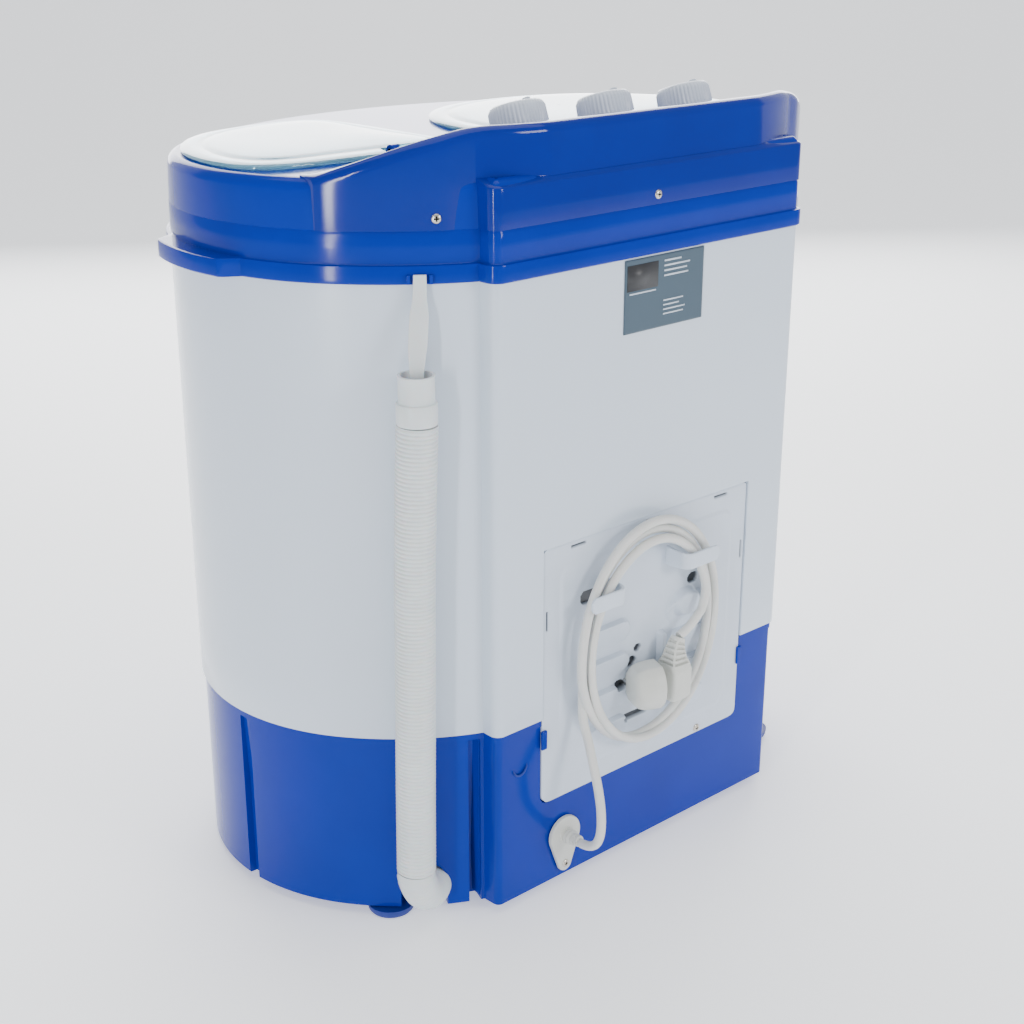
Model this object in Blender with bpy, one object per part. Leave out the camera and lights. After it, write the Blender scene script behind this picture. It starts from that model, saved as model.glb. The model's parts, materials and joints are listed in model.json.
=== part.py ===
"""Compact twin-tub top load washing machine: a wash tub and a spin tub side by side in one casing.

Metres, +Z up. The front faces -Y, the spin tub and the drain hose are on the +X side.
The origin is on the floor, under the middle of the machine's box without its mains lead and hose.
"""
import math

import bmesh
import bpy
import numpy as np
from mathutils import Matrix, Vector

# Overall sizes
BODY_HALF_WIDTH = 0.2609  # widest half width of the white casing
BODY_DEPTH = 0.352  # casing, front to back
FOOT_HEIGHT = 0.007  # the feet stand this far below the base's edge
BASE_HEIGHT = 0.140
CASING_HEIGHT = 0.325  # white casing between the base and the rim
RIM_HEIGHT = 0.012
SEAM_ABOVE_RIM = 0.021  # rim's top edge to the seam under the console
LEDGE_ABOVE_SEAM = 0.027
DECK_ABOVE_SEAM = 0.032
CONSOLE_RISE = 0.031  # deck to the console's ridge

# Plan shape of the casing
REAR_ARC_R = 0.2037
REAR_ARC_X = 0.0686
REAR_ARC_DEPTH = 0.2009  # depth is counted forwards from the back face
BLEND_ANGLE = 38.0  # where the rear arc turns into the side arc
COLUMN_HALF = 0.1515  # half width of the flat back with its corner columns
COLUMN_CORNER_R = 0.0075
GRIP_REACH = 0.0105  # side grips on the rim
GRIP_DEPTH = 0.1725
GRIP_HALF_LENGTH = 0.0425  # of the grip's straight face
GRIP_RAMP = 0.010  # beyond it, back to the rim

# Walls and clearances
GAP = 0.0003  # between touching pieces
RUNNING_GAP = 0.0006  # round a turning or sliding piece
BASE_WALL = 0.003
BASE_INSET = 0.0015
CASING_WALL = 0.002
FRAME_WALL = 0.003
RIM_OUTSET = 0.0025
CONSOLE_WALL = 0.0028
CASING_TUCK = 0.0035  # casing edge reaching up inside the rim

# Tubs
WASH_X, WASH_DEPTH, WASH_R = -0.088, 0.183, 0.138
SPIN_X, SPIN_DEPTH, SPIN_R = 0.154, 0.208, 0.084
TUB_WALL = 0.0025
TUB_TOP_BELOW_SEAM = 0.004
WASH_FLOOR_ABOVE_BASE = 0.055
SPIN_FLOOR_ABOVE_BASE = 0.030
BASKET_R = 0.074
BASKET_WALL = 0.0012
PULSATOR_R = 0.082

# Lids
LID_REAR_DEPTH = 0.1185
WASH_LID_FRONT, WASH_LID_INNER_X = 0.322, 0.056
SPIN_LID_FRONT, SPIN_LID_INNER_X = 0.310, 0.0685
LID_EDGE_GAP = 0.011  # lid edge inside the casing's outline
LID_THICK = 0.0026
LID_LIFT = 0.0006
MOUTH_INSET = 0.012
HINGE_R = 0.0019
HINGE_DEPTH = 0.1140
HINGE_LIFT = 0.0052
KNUCKLE_R = 0.0043

# Console and knobs
CONSOLE_HALF = 0.232
CONSOLE_FRONT_DEPTH = 0.108
CONSOLE_SIDE_DEPTH = 0.0945
RIDGE_DEPTH = 0.012
RIDGE_FALL = 0.097  # length over which the ridge drops towards each side
KNOB_PITCH = 0.0807
KNOB_DEPTH = 0.054
KNOB_R, KNOB_HEIGHT = 0.0198, 0.0195
SHAFT_R = 0.003

# Back panel, seen from behind
PANEL_HALF = 0.107
PANEL_BOTTOM, PANEL_TOP = 0.077, 0.278
PANEL_THICK = 0.0025
PANEL_SINK = 0.001
LOUVRE_PROUD = 0.0040
HOOK_REACH = 0.022
HOOK_THICK = 0.0028
HOOK_Z = 0.2365

# Drain hose
HOSE_R = 0.014
HOSE_ROUTE = [(0.2062, 0.0249, 0.0540), (0.2056, 0.0243, 0.120), (0.2044, 0.0234, 0.200),
              (0.2036, 0.0228, 0.270), (0.2021, 0.0217, 0.335), (0.2005, 0.0205, 0.3850)]
ELBOW_ROUTE = [(0.2063, 0.0250, 0.0530), (0.2061, 0.0251, 0.0470), (0.1998, 0.0272, 0.0335),
               (0.1910, 0.0308, 0.0266), (0.1820, 0.0370, 0.0250), (0.1735, 0.0460, 0.0250)]

# Mains lead
LEAD_R = 0.0034
COIL_X, COIL_Z = 0.010, 0.190
COIL_HALF_WIDTH, COIL_HALF_HEIGHT, COIL_BAND, COIL_THICK = 0.0770, 0.0925, 0.0200, 0.0142
GLAND_X, GLAND_Z = 0.0845, 0.044
LEAD_ROUTE = [(0.0845, -0.0140, 0.0440), (0.0847, -0.0200, 0.0443), (0.0852, -0.0290, 0.0472),
              (0.0860, -0.0365, 0.0545), (0.0864, -0.0400, 0.0665), (0.0860, -0.0392, 0.0815),
              (0.0846, -0.0345, 0.0970), (0.0824, -0.0270, 0.1125), (0.0799, -0.0190, 0.1272),
              (0.0786, -0.0135, 0.1370)]
PLUG_X, PLUG_Z, PLUG_R = 0.0210, 0.1540, 0.0195
RELIEF_END = (-0.0155, -0.0165, 0.1810)
TAIL_ROUTE = [(-0.0170, -0.0165, 0.1817), (-0.0225, -0.0168, 0.1842), (-0.0295, -0.0168, 0.1878),
              (-0.0365, -0.0162, 0.1928), (-0.0420, -0.0155, 0.1972)]

# Worked out from the sizes above
BASE_TOP = FOOT_HEIGHT + BASE_HEIGHT
RIM_BOTTOM = BASE_TOP + CASING_HEIGHT
RIM_TOP = RIM_BOTTOM + RIM_HEIGHT
SEAM = RIM_TOP + SEAM_ABOVE_RIM
LEDGE = SEAM + LEDGE_ABOVE_SEAM
DECK = SEAM + DECK_ABOVE_SEAM
RIDGE = DECK + CONSOLE_RISE
TUB_TOP = SEAM - TUB_TOP_BELOW_SEAM
WASH_FLOOR = BASE_TOP + WASH_FLOOR_ABOVE_BASE
SPIN_FLOOR = BASE_TOP + SPIN_FLOOR_ABOVE_BASE
BACK_Y = (BODY_DEPTH + RIM_OUTSET + HOOK_REACH) / 2 - HOOK_REACH
SLOPE = math.atan2(CONSOLE_RISE, CONSOLE_FRONT_DEPTH - RIDGE_DEPTH)
PANEL_FACE = BACK_Y - PANEL_SINK
MOTOR_FLOOR = FOOT_HEIGHT + BASE_WALL + GAP


def at_depth(depth):
    """World y of a point this far in front of the back face."""
    return BACK_Y - depth


def side_arc():
    """Radius and centre of the side arc, which is tangent to the rear arc and as wide as the casing."""
    c, s = math.cos(math.radians(BLEND_ANGLE)), math.sin(math.radians(BLEND_ANGLE))
    r = (BODY_HALF_WIDTH - REAR_ARC_X - REAR_ARC_R * c) / (1 - c)
    return r, REAR_ARC_X + (REAR_ARC_R - r) * c, REAR_ARC_DEPTH - (REAR_ARC_R - r) * s


def front_arc():
    """Radius of the front arc, centred on x = 0 and tangent to both side arcs, and its end angle."""
    r, cx, cd = side_arc()
    reach = BODY_DEPTH - cd
    big = (cx * cx + reach * reach - r * r) / (2 * (reach - r))
    return big, math.atan2(-(cd - BODY_DEPTH + big), cx)


def outline(inset=0.0, grips=False):
    """Casing outline in plan, anticlockwise from the front middle, moved inwards by inset."""
    r, cx, cd = side_arc()
    big, join = front_arc()
    rear, column = REAR_ARC_R - inset, COLUMN_HALF - inset
    end = math.acos((column - REAR_ARC_X) / rear)
    blend = math.radians(BLEND_ANGLE)
    right = []
    for a in np.linspace(-math.pi / 2, join, 8)[:-1]:
        right.append(((big - inset) * math.cos(a), at_depth(BODY_DEPTH - big) + (big - inset) * math.sin(a)))
    for a in np.linspace(join, blend, 15)[:-1]:
        right.append((cx + (r - inset) * math.cos(a), at_depth(cd) + (r - inset) * math.sin(a)))
    for a in np.linspace(blend, end, 7):
        right.append((REAR_ARC_X + rear * math.cos(a), at_depth(REAR_ARC_DEPTH) + rear * math.sin(a)))
    for a in np.linspace(0, math.pi / 2, 4):
        corner = COLUMN_CORNER_R - inset
        right.append((COLUMN_HALF - COLUMN_CORNER_R + corner * math.cos(a),
                      at_depth(COLUMN_CORNER_R) + corner * math.sin(a)))
    right.append((COLUMN_HALF / 2, at_depth(inset)))
    if grips:
        right = [grip_point(x, y) for x, y in right]
    left = [(-x, y) for x, y in reversed(right[1:])]
    return right + [(0.0, at_depth(inset))] + left


def grip_point(x, y):
    """Moves a point of the rim outwards along the side grip, which has a short ramp at each end."""
    beyond = abs(BACK_Y - y - GRIP_DEPTH) - GRIP_HALF_LENGTH
    if x < COLUMN_HALF:
        return x, y
    return x + GRIP_REACH * min(max(1 - beyond / GRIP_RAMP, 0.0), 1.0), y


def rear_edge(x, inset=0.0):
    """Depth of the casing's rear arc at x, or of the flat back where the arc lies behind it."""
    rear = REAR_ARC_R - inset
    arc = REAR_ARC_DEPTH - math.sqrt(max(rear ** 2 - (abs(x) - REAR_ARC_X) ** 2, 0.0))
    return max(arc, inset) if abs(x) > REAR_ARC_X else inset


# Blender helpers
def clear_scene():
    for obj in list(bpy.data.objects):
        bpy.data.objects.remove(obj, do_unlink=True)


def material(name, colour, rough=0.4, metal=0.0, alpha=1.0):
    mat = bpy.data.materials.get(name)
    if mat is None:
        mat = bpy.data.materials.new(name)
        mat.use_nodes = True
        shader = mat.node_tree.nodes["Principled BSDF"]
        shader.inputs["Base Color"].default_value = (*colour, 1.0)
        shader.inputs["Roughness"].default_value = rough
        shader.inputs["Metallic"].default_value = metal
        shader.inputs["Alpha"].default_value = alpha
    return mat


MATERIALS = {
    "white_casing": ((0.86, 0.89, 0.92), 0.18, 0.0), "blue_plastic": ((0.01, 0.07, 0.52), 0.16, 0.0),
    "blue_console": ((0.008, 0.05, 0.42), 0.16, 0.0), "lid_plastic": ((0.35, 0.72, 0.95), 0.08, 0.0),
    "knob_plastic": ((0.80, 0.82, 0.84), 0.35, 0.0), "tub_plastic": ((0.86, 0.87, 0.88), 0.35, 0.0),
    "panel_plastic": ((0.80, 0.84, 0.88), 0.40, 0.0), "lead_plastic": ((0.80, 0.80, 0.76), 0.45, 0.0),
    "hose_plastic": ((0.82, 0.84, 0.83), 0.45, 0.0), "black_plastic": ((0.03, 0.03, 0.03), 0.5, 0.0),
    "rubber": ((0.05, 0.05, 0.05), 0.8, 0.0), "steel": ((0.62, 0.62, 0.60), 0.35, 1.0),
    "motor_steel": ((0.30, 0.31, 0.33), 0.5, 1.0), "aluminium": ((0.75, 0.75, 0.74), 0.4, 1.0),
    "label": ((0.30, 0.34, 0.38), 0.4, 0.0), "blue_foot": ((0.01, 0.05, 0.35), 0.6, 0.0),
    "net_fabric": ((0.75, 0.78, 0.85), 0.9, 0.0),
}


def finish(name, bm, slot, smooth=True):
    """Turns a bmesh into a named object with outward faces and its own material."""
    bmesh.ops.recalc_face_normals(bm, faces=bm.faces)
    mesh = bpy.data.meshes.new(name)
    bm.to_mesh(mesh)
    bm.free()
    if smooth:
        mesh.shade_smooth()
        mesh.set_sharp_from_angle(angle=math.radians(35))
    obj = bpy.data.objects.new(name, mesh)
    bpy.context.scene.collection.objects.link(obj)
    mesh.materials.append(material(slot, *MATERIALS[slot]))
    return obj


def loft(name, rings, slot, closed=False, bm=None):
    """Skins rings of 3D points with equal counts; the ends are capped, or joined when closed."""
    own = bm is None
    bm = bmesh.new() if own else bm
    rows = [[bm.verts.new(p) for p in ring] for ring in rings]
    n = len(rows[0])
    pairs = list(zip(rows, rows[1:]))
    if closed:
        pairs.append((rows[-1], rows[0]))
    else:
        bm.faces.new(list(reversed(rows[0])))
        bm.faces.new(rows[-1])
    for low, high in pairs:
        for i in range(n):
            j = (i + 1) % n
            bm.faces.new((low[i], low[j], high[j], high[i]))
    return finish(name, bm, slot) if own else bm


def lift(ring, z):
    return [(x, y, z) for x, y in ring]


def circle(r, centre=(0.0, 0.0), n=32, turn=0.0):
    return [(centre[0] + r * math.cos(2 * math.pi * i / n + turn),
             centre[1] + r * math.sin(2 * math.pi * i / n + turn)) for i in range(n)]


def turned(name, profile, slot, centre=(0.0, 0.0), n=32, closed=True):
    """Turns a profile of (radius, z) points about a vertical axis."""
    rings = [lift(circle(r, centre, n), z) for r, z in profile]
    return loft(name, rings, slot, closed)


def block(name, low, high, slot):
    """A rectangular block between two corners."""
    ring = [(low[0], low[1]), (high[0], low[1]), (high[0], high[1]), (low[0], high[1])]
    return loft(name, [lift(ring, low[2]), lift(ring, high[2])], slot)


def rod(name, start, end, r, slot, n=20):
    """A round bar between two points."""
    axis = Vector(end) - Vector(start)
    turn = axis.to_track_quat("Z", "Y").to_matrix().to_4x4()
    place = Matrix.Translation(start) @ turn
    rings = [[place @ Vector((x, y, z)) for x, y in circle(r, n=n)] for z in (0.0, axis.length)]
    return loft(name, rings, slot)


def tube(name, route, r, slot, resolution=2, samples=30):
    """A bent tube or cord: a curve with a bevel, through points read from a smooth path."""
    pts = smooth_path(route, samples)
    curve = bpy.data.curves.new(name, "CURVE")
    curve.dimensions = "3D"
    curve.bevel_depth = r
    curve.bevel_resolution = resolution
    curve.use_fill_caps = True
    spline = curve.splines.new("POLY")
    spline.points.add(len(pts) - 1)
    for point, p in zip(spline.points, pts):
        point.co = (*p, 1.0)
    curve.materials.append(material(slot, *MATERIALS[slot]))
    obj = bpy.data.objects.new(name, curve)
    bpy.context.scene.collection.objects.link(obj)
    return obj


def sweep(name, route, r, slot, n=20, samples=14):
    """A round bar swept along a smooth path, as a mesh."""
    pts = smooth_path(route, samples)
    along = np.gradient(pts, axis=0)
    side = np.cross(along, (0.31, 0.52, 0.79))
    side /= np.linalg.norm(side, axis=1)[:, None]
    up = np.cross(side, along)
    up /= np.linalg.norm(up, axis=1)[:, None]
    rings = [[Vector(p) + r * (Vector(u) * math.cos(a) + Vector(v) * math.sin(a))
              for a in np.linspace(0, 2 * math.pi, n + 1)[:-1]] for p, u, v in zip(pts, up, side)]
    return loft(name, rings, slot)


def smooth_path(route, samples):
    """Points at even steps along a centripetal curve through the route's points."""
    p = np.array(route, float)
    p = np.vstack([2 * p[0] - p[1], p, 2 * p[-1] - p[-2]])
    fine = []
    for a, b, c, d in zip(p[:-3], p[1:-2], p[2:-1], p[3:]):
        t = np.linspace(0, 1, 24, endpoint=False)[:, None]
        fine.append(0.5 * (2 * b + (c - a) * t + (2 * a - 5 * b + 4 * c - d) * t ** 2
                           + (3 * b - a - 3 * c + d) * t ** 3))
    fine = np.vstack(fine + [p[-2:-1]])
    run = np.concatenate([[0], np.cumsum(np.linalg.norm(np.diff(fine, axis=0), axis=1))])
    even = np.linspace(0, run[-1], samples)
    return np.stack([np.interp(even, run, fine[:, k]) for k in range(3)], axis=1)


def from_back(route):
    """World points of a route given as x, depth in front of the back face, and z."""
    return [(x, at_depth(d), z) for x, d, z in route]


def apply_modifiers(obj):
    """Bakes an object's modifiers into its mesh."""
    deps = bpy.context.evaluated_depsgraph_get()
    deps.update()
    mesh = bpy.data.meshes.new_from_object(obj.evaluated_get(deps))
    obj.modifiers.clear()
    obj.data = mesh
    return obj


def boolean(obj, tool, operation="DIFFERENCE"):
    """Cuts a tool out of an object, or joins it on, and removes the tool."""
    mod = obj.modifiers.new("shape", "BOOLEAN")
    mod.operation = operation
    mod.solver = "EXACT"
    mod.object = tool
    apply_modifiers(obj)
    bpy.data.objects.remove(tool, do_unlink=True)
    return obj


def cut(obj, tool):
    return boolean(obj, tool)


def join(obj, tool):
    return boolean(obj, tool, "UNION")


def place(obj, matrix):
    obj.data.transform(matrix)
    return obj


# Casing
def base():
    """Blue base: an open tray with a floor, a cut-out for the back panel and a notch for the drain elbow."""
    out, inn = BASE_INSET, BASE_INSET + BASE_WALL
    rings = [lift(outline(out), FOOT_HEIGHT), lift(outline(out), BASE_TOP),
             lift(outline(inn), BASE_TOP), lift(outline(inn), FOOT_HEIGHT + BASE_WALL)]
    obj = loft("base", rings, "blue_plastic")
    side = PANEL_HALF + 2 * GAP
    low = PANEL_BOTTOM - 2 * GAP
    cut(obj, block("c", (-side, at_depth(0.012), low), (side, at_depth(-0.01), BASE_TOP + 0.01), "steel"))
    cut(obj, sweep("c", from_back(ELBOW_ROUTE), HOSE_R + 0.0032, "steel"))
    start, end = (GLAND_X, at_depth(0.012), GLAND_Z), (GLAND_X, at_depth(-0.01), GLAND_Z)
    return cut(obj, rod("c", start, end, 0.0052, "steel"))


def body_shell():
    """White casing: one tall wall, tucked up inside the rim, with the opening for the back panel."""
    low, high = BASE_TOP + GAP, RIM_BOTTOM + CASING_TUCK
    rings = [lift(outline(0), low), lift(outline(0), high), lift(outline(CASING_WALL), high),
             lift(outline(CASING_WALL), low)]
    obj = loft("body_shell", rings, "white_casing", closed=True)
    side = PANEL_HALF + 2 * GAP
    high = PANEL_TOP + 2 * GAP
    return cut(obj, block("c", (-side, at_depth(0.012), low - 0.01), (side, at_depth(-0.01), high), "steel"))


def console_front(x, clearance=0.0):
    """Depth of the console's front edge at x."""
    t = min(max((abs(x) - 0.145) / (CONSOLE_HALF - 0.145), 0.0), 1.0)
    return CONSOLE_FRONT_DEPTH + (CONSOLE_SIDE_DEPTH - CONSOLE_FRONT_DEPTH) * t * t * (3 - 2 * t) + clearance


def lid_outline(centre, walls, arc_sign, inset=0.0, n=40):
    """Lid shape in plan: a smooth minimum of the distances to its straight edges and the side arc."""
    r, cx, cd = side_arc()
    rear, front, inner = walls
    cx0, depth0 = centre
    points = []
    for i in range(n):
        a = 2 * math.pi * i / n
        dx, dd = math.cos(a), -math.sin(a)
        near = []
        if dd < 0:
            near.append((depth0 - rear) / -dd)
        if dd > 0:
            near.append((front - depth0) / dd)
        if dx * arc_sign < 0:
            near.append(abs(cx0 - inner) / abs(dx))
        ox, od, rr = cx0 - arc_sign * cx, depth0 - cd, r - LID_EDGE_GAP
        b = ox * dx + od * dd
        near.append(-b + math.sqrt(b * b - (ox * ox + od * od - rr * rr)))
        reach = sum(v ** -7.0 for v in near) ** (-1 / 7.0) - inset
        points.append((cx0 + reach * dx, at_depth(depth0 + reach * dd)))
    return points


WASH_LID = ((-0.092, 0.216), (LID_REAR_DEPTH, WASH_LID_FRONT, WASH_LID_INNER_X), -1)
SPIN_LID = ((0.158, 0.210), (LID_REAR_DEPTH, SPIN_LID_FRONT, SPIN_LID_INNER_X), 1)


def hinge_blocks(lid):
    """The x spans of a lid's two hinge knuckles, and of the frame's ears outside them."""
    middle = (lid[0][0] + lid[1][2]) / 2 if lid is WASH_LID else 0.112
    half = 0.046 if lid is WASH_LID else 0.026
    knuckles = [(middle - half, middle - half + 0.018), (middle + half - 0.018, middle + half)]
    free = half + RUNNING_GAP
    ears = [(middle - half - 0.007, middle - free), (middle + free, middle + half + 0.007)]
    return knuckles, ears


def top_frame():
    """Blue top frame: rim with side grips, and a deck with two mouths, cut away for the console."""
    wall = 0.002
    outer = [lift(outline(-RIM_OUTSET, True), RIM_BOTTOM), lift(outline(-RIM_OUTSET, True), RIM_TOP),
             lift(outline(0.0005), RIM_TOP), lift(outline(wall), DECK - 0.004),
             lift(outline(wall + 0.004), DECK)]
    inner = [lift(outline(wall + 0.006), DECK - FRAME_WALL),
             lift(outline(wall + FRAME_WALL), DECK - FRAME_WALL - 0.004),
             lift(outline(CASING_WALL + 0.0015), RIM_BOTTOM + CASING_TUCK + GAP),
             lift(outline(-GAP), RIM_BOTTOM + CASING_TUCK + GAP), lift(outline(-GAP), RIM_BOTTOM)]
    n = len(outer[0])
    bm = bmesh.new()
    rows = [[bm.verts.new(p) for p in ring] for ring in outer + inner]
    bm.faces.new(rows[4])
    bm.faces.new(list(reversed(rows[5])))
    for a in (0, 1, 2, 3, 5, 6, 7, 8, 9):
        low, high = rows[a], rows[(a + 1) % 10]
        for i in range(n):
            j = (i + 1) % n
            bm.faces.new((low[i], low[j], high[j], high[i]))
    obj = finish("top_frame", bm, "blue_plastic")
    for lid in (WASH_LID, SPIN_LID):
        mouth = lid_outline(*lid, inset=MOUTH_INSET)
        cut(obj, loft("c", [lift(mouth, DECK - 0.02), lift(mouth, DECK + 0.02)], "steel"))
    half = CONSOLE_HALF + GAP
    seat = [(x, at_depth(console_front(x, 3 * GAP))) for x in np.linspace(-half, half, 19)]
    seat += [(half, at_depth(-0.05)), (-half, at_depth(-0.05))]
    cut(obj, loft("c", [lift(seat, SEAM), lift(seat, DECK + 0.05)], "steel"))
    for lid in (WASH_LID, SPIN_LID):
        for low, high in hinge_blocks(lid)[1]:
            axis_z, y = DECK + HINGE_LIFT, at_depth(HINGE_DEPTH)
            join(obj, hinge_ear(low, high, y, axis_z))
            cut(obj, pin_hole(low, high, y, axis_z))
    return obj


def lid(name, shape):
    """Clear lid: a thin crowned plate with a locating skirt and two hinge knuckles."""
    z = DECK + LID_LIFT
    steps = [(0.0, 0.0), (0.0, 0.0016), (0.0012, LID_THICK), (0.014, 0.0044), (0.045, 0.0066)]
    under = [(0.046, 0.0040), (0.0160, 0.0016), (0.0155, -0.0045), (0.0137, -0.0045), (0.0137, 0.0)]
    rings = [lift(lid_outline(*shape, inset=i), z + h) for i, h in steps + under]
    bm = bmesh.new()
    rows = [[bm.verts.new(p) for p in ring] for ring in rings]
    n = len(rows[0])
    bm.faces.new(rows[4])
    bm.faces.new(list(reversed(rows[5])))
    for a in (0, 1, 2, 3, 5, 6, 7, 8, 9):
        low, high = rows[a], rows[(a + 1) % 10]
        for i in range(n):
            j = (i + 1) % n
            bm.faces.new((low[i], low[j], high[j], high[i]))
    obj = finish(name, bm, "lid_plastic")
    y, axis_z = at_depth(HINGE_DEPTH), DECK + HINGE_LIFT
    for low, high in hinge_blocks(shape)[0]:
        arm = block("c", (low, at_depth(LID_REAR_DEPTH + 0.015), z + 0.0007), (high, y, z + 0.0040), "steel")
        join(obj, arm)
        join(obj, rod("c", (low, y, axis_z), (high, y, axis_z), KNUCKLE_R, "steel", 16))
        cut(obj, pin_hole(low, high, y, axis_z))
    return obj


def hinge_ear(low, high, y, z):
    """Upright ear with a round top, which carries one end of a hinge pin."""
    turn = np.linspace(0, math.pi, 11)
    ring = [(y - KNUCKLE_R, DECK - 0.002), (y + KNUCKLE_R, DECK - 0.002)]
    ring += [(y + KNUCKLE_R * math.cos(a), z + KNUCKLE_R * math.sin(a)) for a in turn]
    return loft("c", [[(x, p, q) for p, q in ring] for x in (low, high)], "steel")


def pin_hole(low, high, y, z):
    """Cutter for a hinge pin's hole, right through a knuckle or an ear."""
    return rod("c", (low - 0.001, y, z), (high + 0.001, y, z), HINGE_R + GAP, "steel", 16)


def hinge_pin(name, shape):
    ears = hinge_blocks(shape)[1]
    y, z = at_depth(HINGE_DEPTH), DECK + HINGE_LIFT
    return rod(name, (ears[0][0], y, z), (ears[1][1], y, z), HINGE_R, "steel", 12)


def console_stations(inset):
    """x stations across the console, closer together round the corner columns."""
    column = COLUMN_HALF - inset
    corner = COLUMN_CORNER_R - inset
    turn = [column - corner * (1 - math.cos(math.radians(a))) for a in (8, 45, 68, 90)]
    flat = [0.0, 0.05, 0.085, 0.11, 0.131]
    side = list(np.linspace(column + 0.0012, CONSOLE_HALF - inset, 6))
    right = flat + sorted(turn) + side
    return [-x for x in reversed(right[1:])] + right


def ridge_height(x):
    """Height of the ridge at x: level in the middle, falling like a sine towards each side."""
    t = min(max((CONSOLE_HALF + 0.0005 - abs(x)) / RIDGE_FALL, 0.0), 1.0)
    return DECK + CONSOLE_RISE * math.sin(math.pi / 2 * t)


def column_depth(x, inset):
    """Depth of the lower rear edge at x: flat back, rounded column corner, then the rear arc."""
    corner = COLUMN_CORNER_R - inset
    start = COLUMN_HALF - COLUMN_CORNER_R
    if abs(x) <= start:
        return inset
    if abs(x) <= start + corner + 1e-9:
        return COLUMN_CORNER_R - math.sqrt(max(corner ** 2 - (abs(x) - start) ** 2, 0.0))
    return rear_edge(x, inset)


def console_section(x, inset, floor):
    """Closed cross-section of the console at x, as (depth, z) points from the lower rear edge up."""
    low_rear = column_depth(x, inset)
    on_back = abs(x) <= COLUMN_HALF
    high_rear = max(rear_edge(x, 0.003 + inset), low_rear) if on_back else low_rear
    front = console_front(x) - inset
    top = ridge_height(x) - inset
    deck = DECK - inset
    ledge = LEDGE - inset * 0.5 - (0.0 if on_back else 0.004)
    rise = 0.0045 if on_back else 0.003
    points = [(low_rear, floor), (low_rear, ledge),
              (high_rear + 0.00005, ledge + min(rise, high_rear * 0.3 + 0.0006)),
              (high_rear + 0.0001, max(top - 0.004, ledge + 0.0046)),
              (high_rear + 0.0012, max(top - 0.0012, ledge + 0.005)),
              (high_rear + 0.004, max(top - 0.0002, ledge + 0.0052))]
    crest = max(RIDGE_DEPTH + inset, high_rear + 0.005)
    for t in np.linspace(0, 1, 3)[:-1]:
        depth = crest + (front - crest) * t
        points.append((depth, max(top + (deck - top) * t, ledge + 0.0054)))
    points += [(front, max(deck, ledge + 0.0054)), (front, floor)]
    return points


def console_solid(name, inset, floor):
    rings = [[(x, at_depth(d), z) for d, z in console_section(x, inset, floor)]
             for x in console_stations(inset)]
    return loft(name, rings, "blue_console")


def knob_place(i):
    """Frame on the console's slope at knob i, with its z along the knob's axis."""
    x = (1 - i) * KNOB_PITCH
    t = (CONSOLE_FRONT_DEPTH - KNOB_DEPTH) / (CONSOLE_FRONT_DEPTH - RIDGE_DEPTH)
    origin = Vector((x, at_depth(KNOB_DEPTH), DECK + CONSOLE_RISE * t))
    return Matrix.Translation(origin) @ Matrix.Rotation(SLOPE, 4, "X")


def console_cover():
    """Blue console cover: a hollow hood with a sloping top, a stepped back and three shaft holes."""
    obj = console_solid("console_cover", 0.0, SEAM + GAP)
    cut(obj, console_solid("c", CONSOLE_WALL, SEAM - 0.004))
    for i in range(3):
        cut(obj, place(shaft_hole(RUNNING_GAP, -0.01, 0.01), knob_place(i)))
    return obj


def shaft_hole(clearance, low, high, x=0.0):
    """Cutter for a knob shaft's hole."""
    r = SHAFT_R + clearance
    return turned("c", [(r, low), (r, high)], "steel", (x, 0.0), 20, closed=False)


def knob(name, i):
    """Knob with a skirt, a slightly tapered grip and a stem that reaches down into its switch."""
    r, h = KNOB_R, KNOB_HEIGHT
    profile = [(SHAFT_R, -0.0175), (SHAFT_R, 0.0012), (r, 0.0012), (r, 0.0030), (r * 0.96, h - 0.0022),
               (r * 0.90, h - 0.0003), (r * 0.45, h + 0.0007)]
    obj = turned(name, profile, "knob_plastic", n=24, closed=False)
    pointer = block("c", (-0.0012, r * 0.35, h - 0.002), (0.0012, r * 0.82, h + 0.0018), "steel")
    join(obj, pointer)
    return place(obj, knob_place(i))


def switch_body(name, i, size):
    """Timer or selector under the console, a block with a threaded neck and a blind shaft hole."""
    sx, sy, sz = size
    top = -CONSOLE_WALL - 0.0040
    obj = block(name, (-sx / 2, -sy / 2, top - sz), (sx / 2, sy / 2, top), "black_plastic")
    mod = obj.modifiers.new("edge", "BEVEL")
    mod.width, mod.segments = 0.0015, 1
    apply_modifiers(obj)
    cut(obj, shaft_hole(RUNNING_GAP, -0.0195, 0.0))
    return place(obj, knob_place(i))


def timer_bracket():
    """Pressed steel strip that carries the three switches, just under the console's skin."""
    half, deep, top = KNOB_PITCH + 0.028, 0.016, -CONSOLE_WALL - 0.0015
    obj = block("timer_bracket", (-half, -deep, top - 0.0015), (half, deep, top), "steel")
    for i in range(3):
        cut(obj, shaft_hole(0.0015, top - 0.01, top + 0.01, (1 - i) * KNOB_PITCH))
    return place(obj, knob_place(1))


# Tubs and drive
def drain_hole(x, y, z):
    """Cutter for the drain hole in a tub's floor."""
    ring = circle(0.008, (x, y), 16)
    return loft("c", [lift(ring, z - 0.01), lift(ring, z + 0.01)], "steel")


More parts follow.
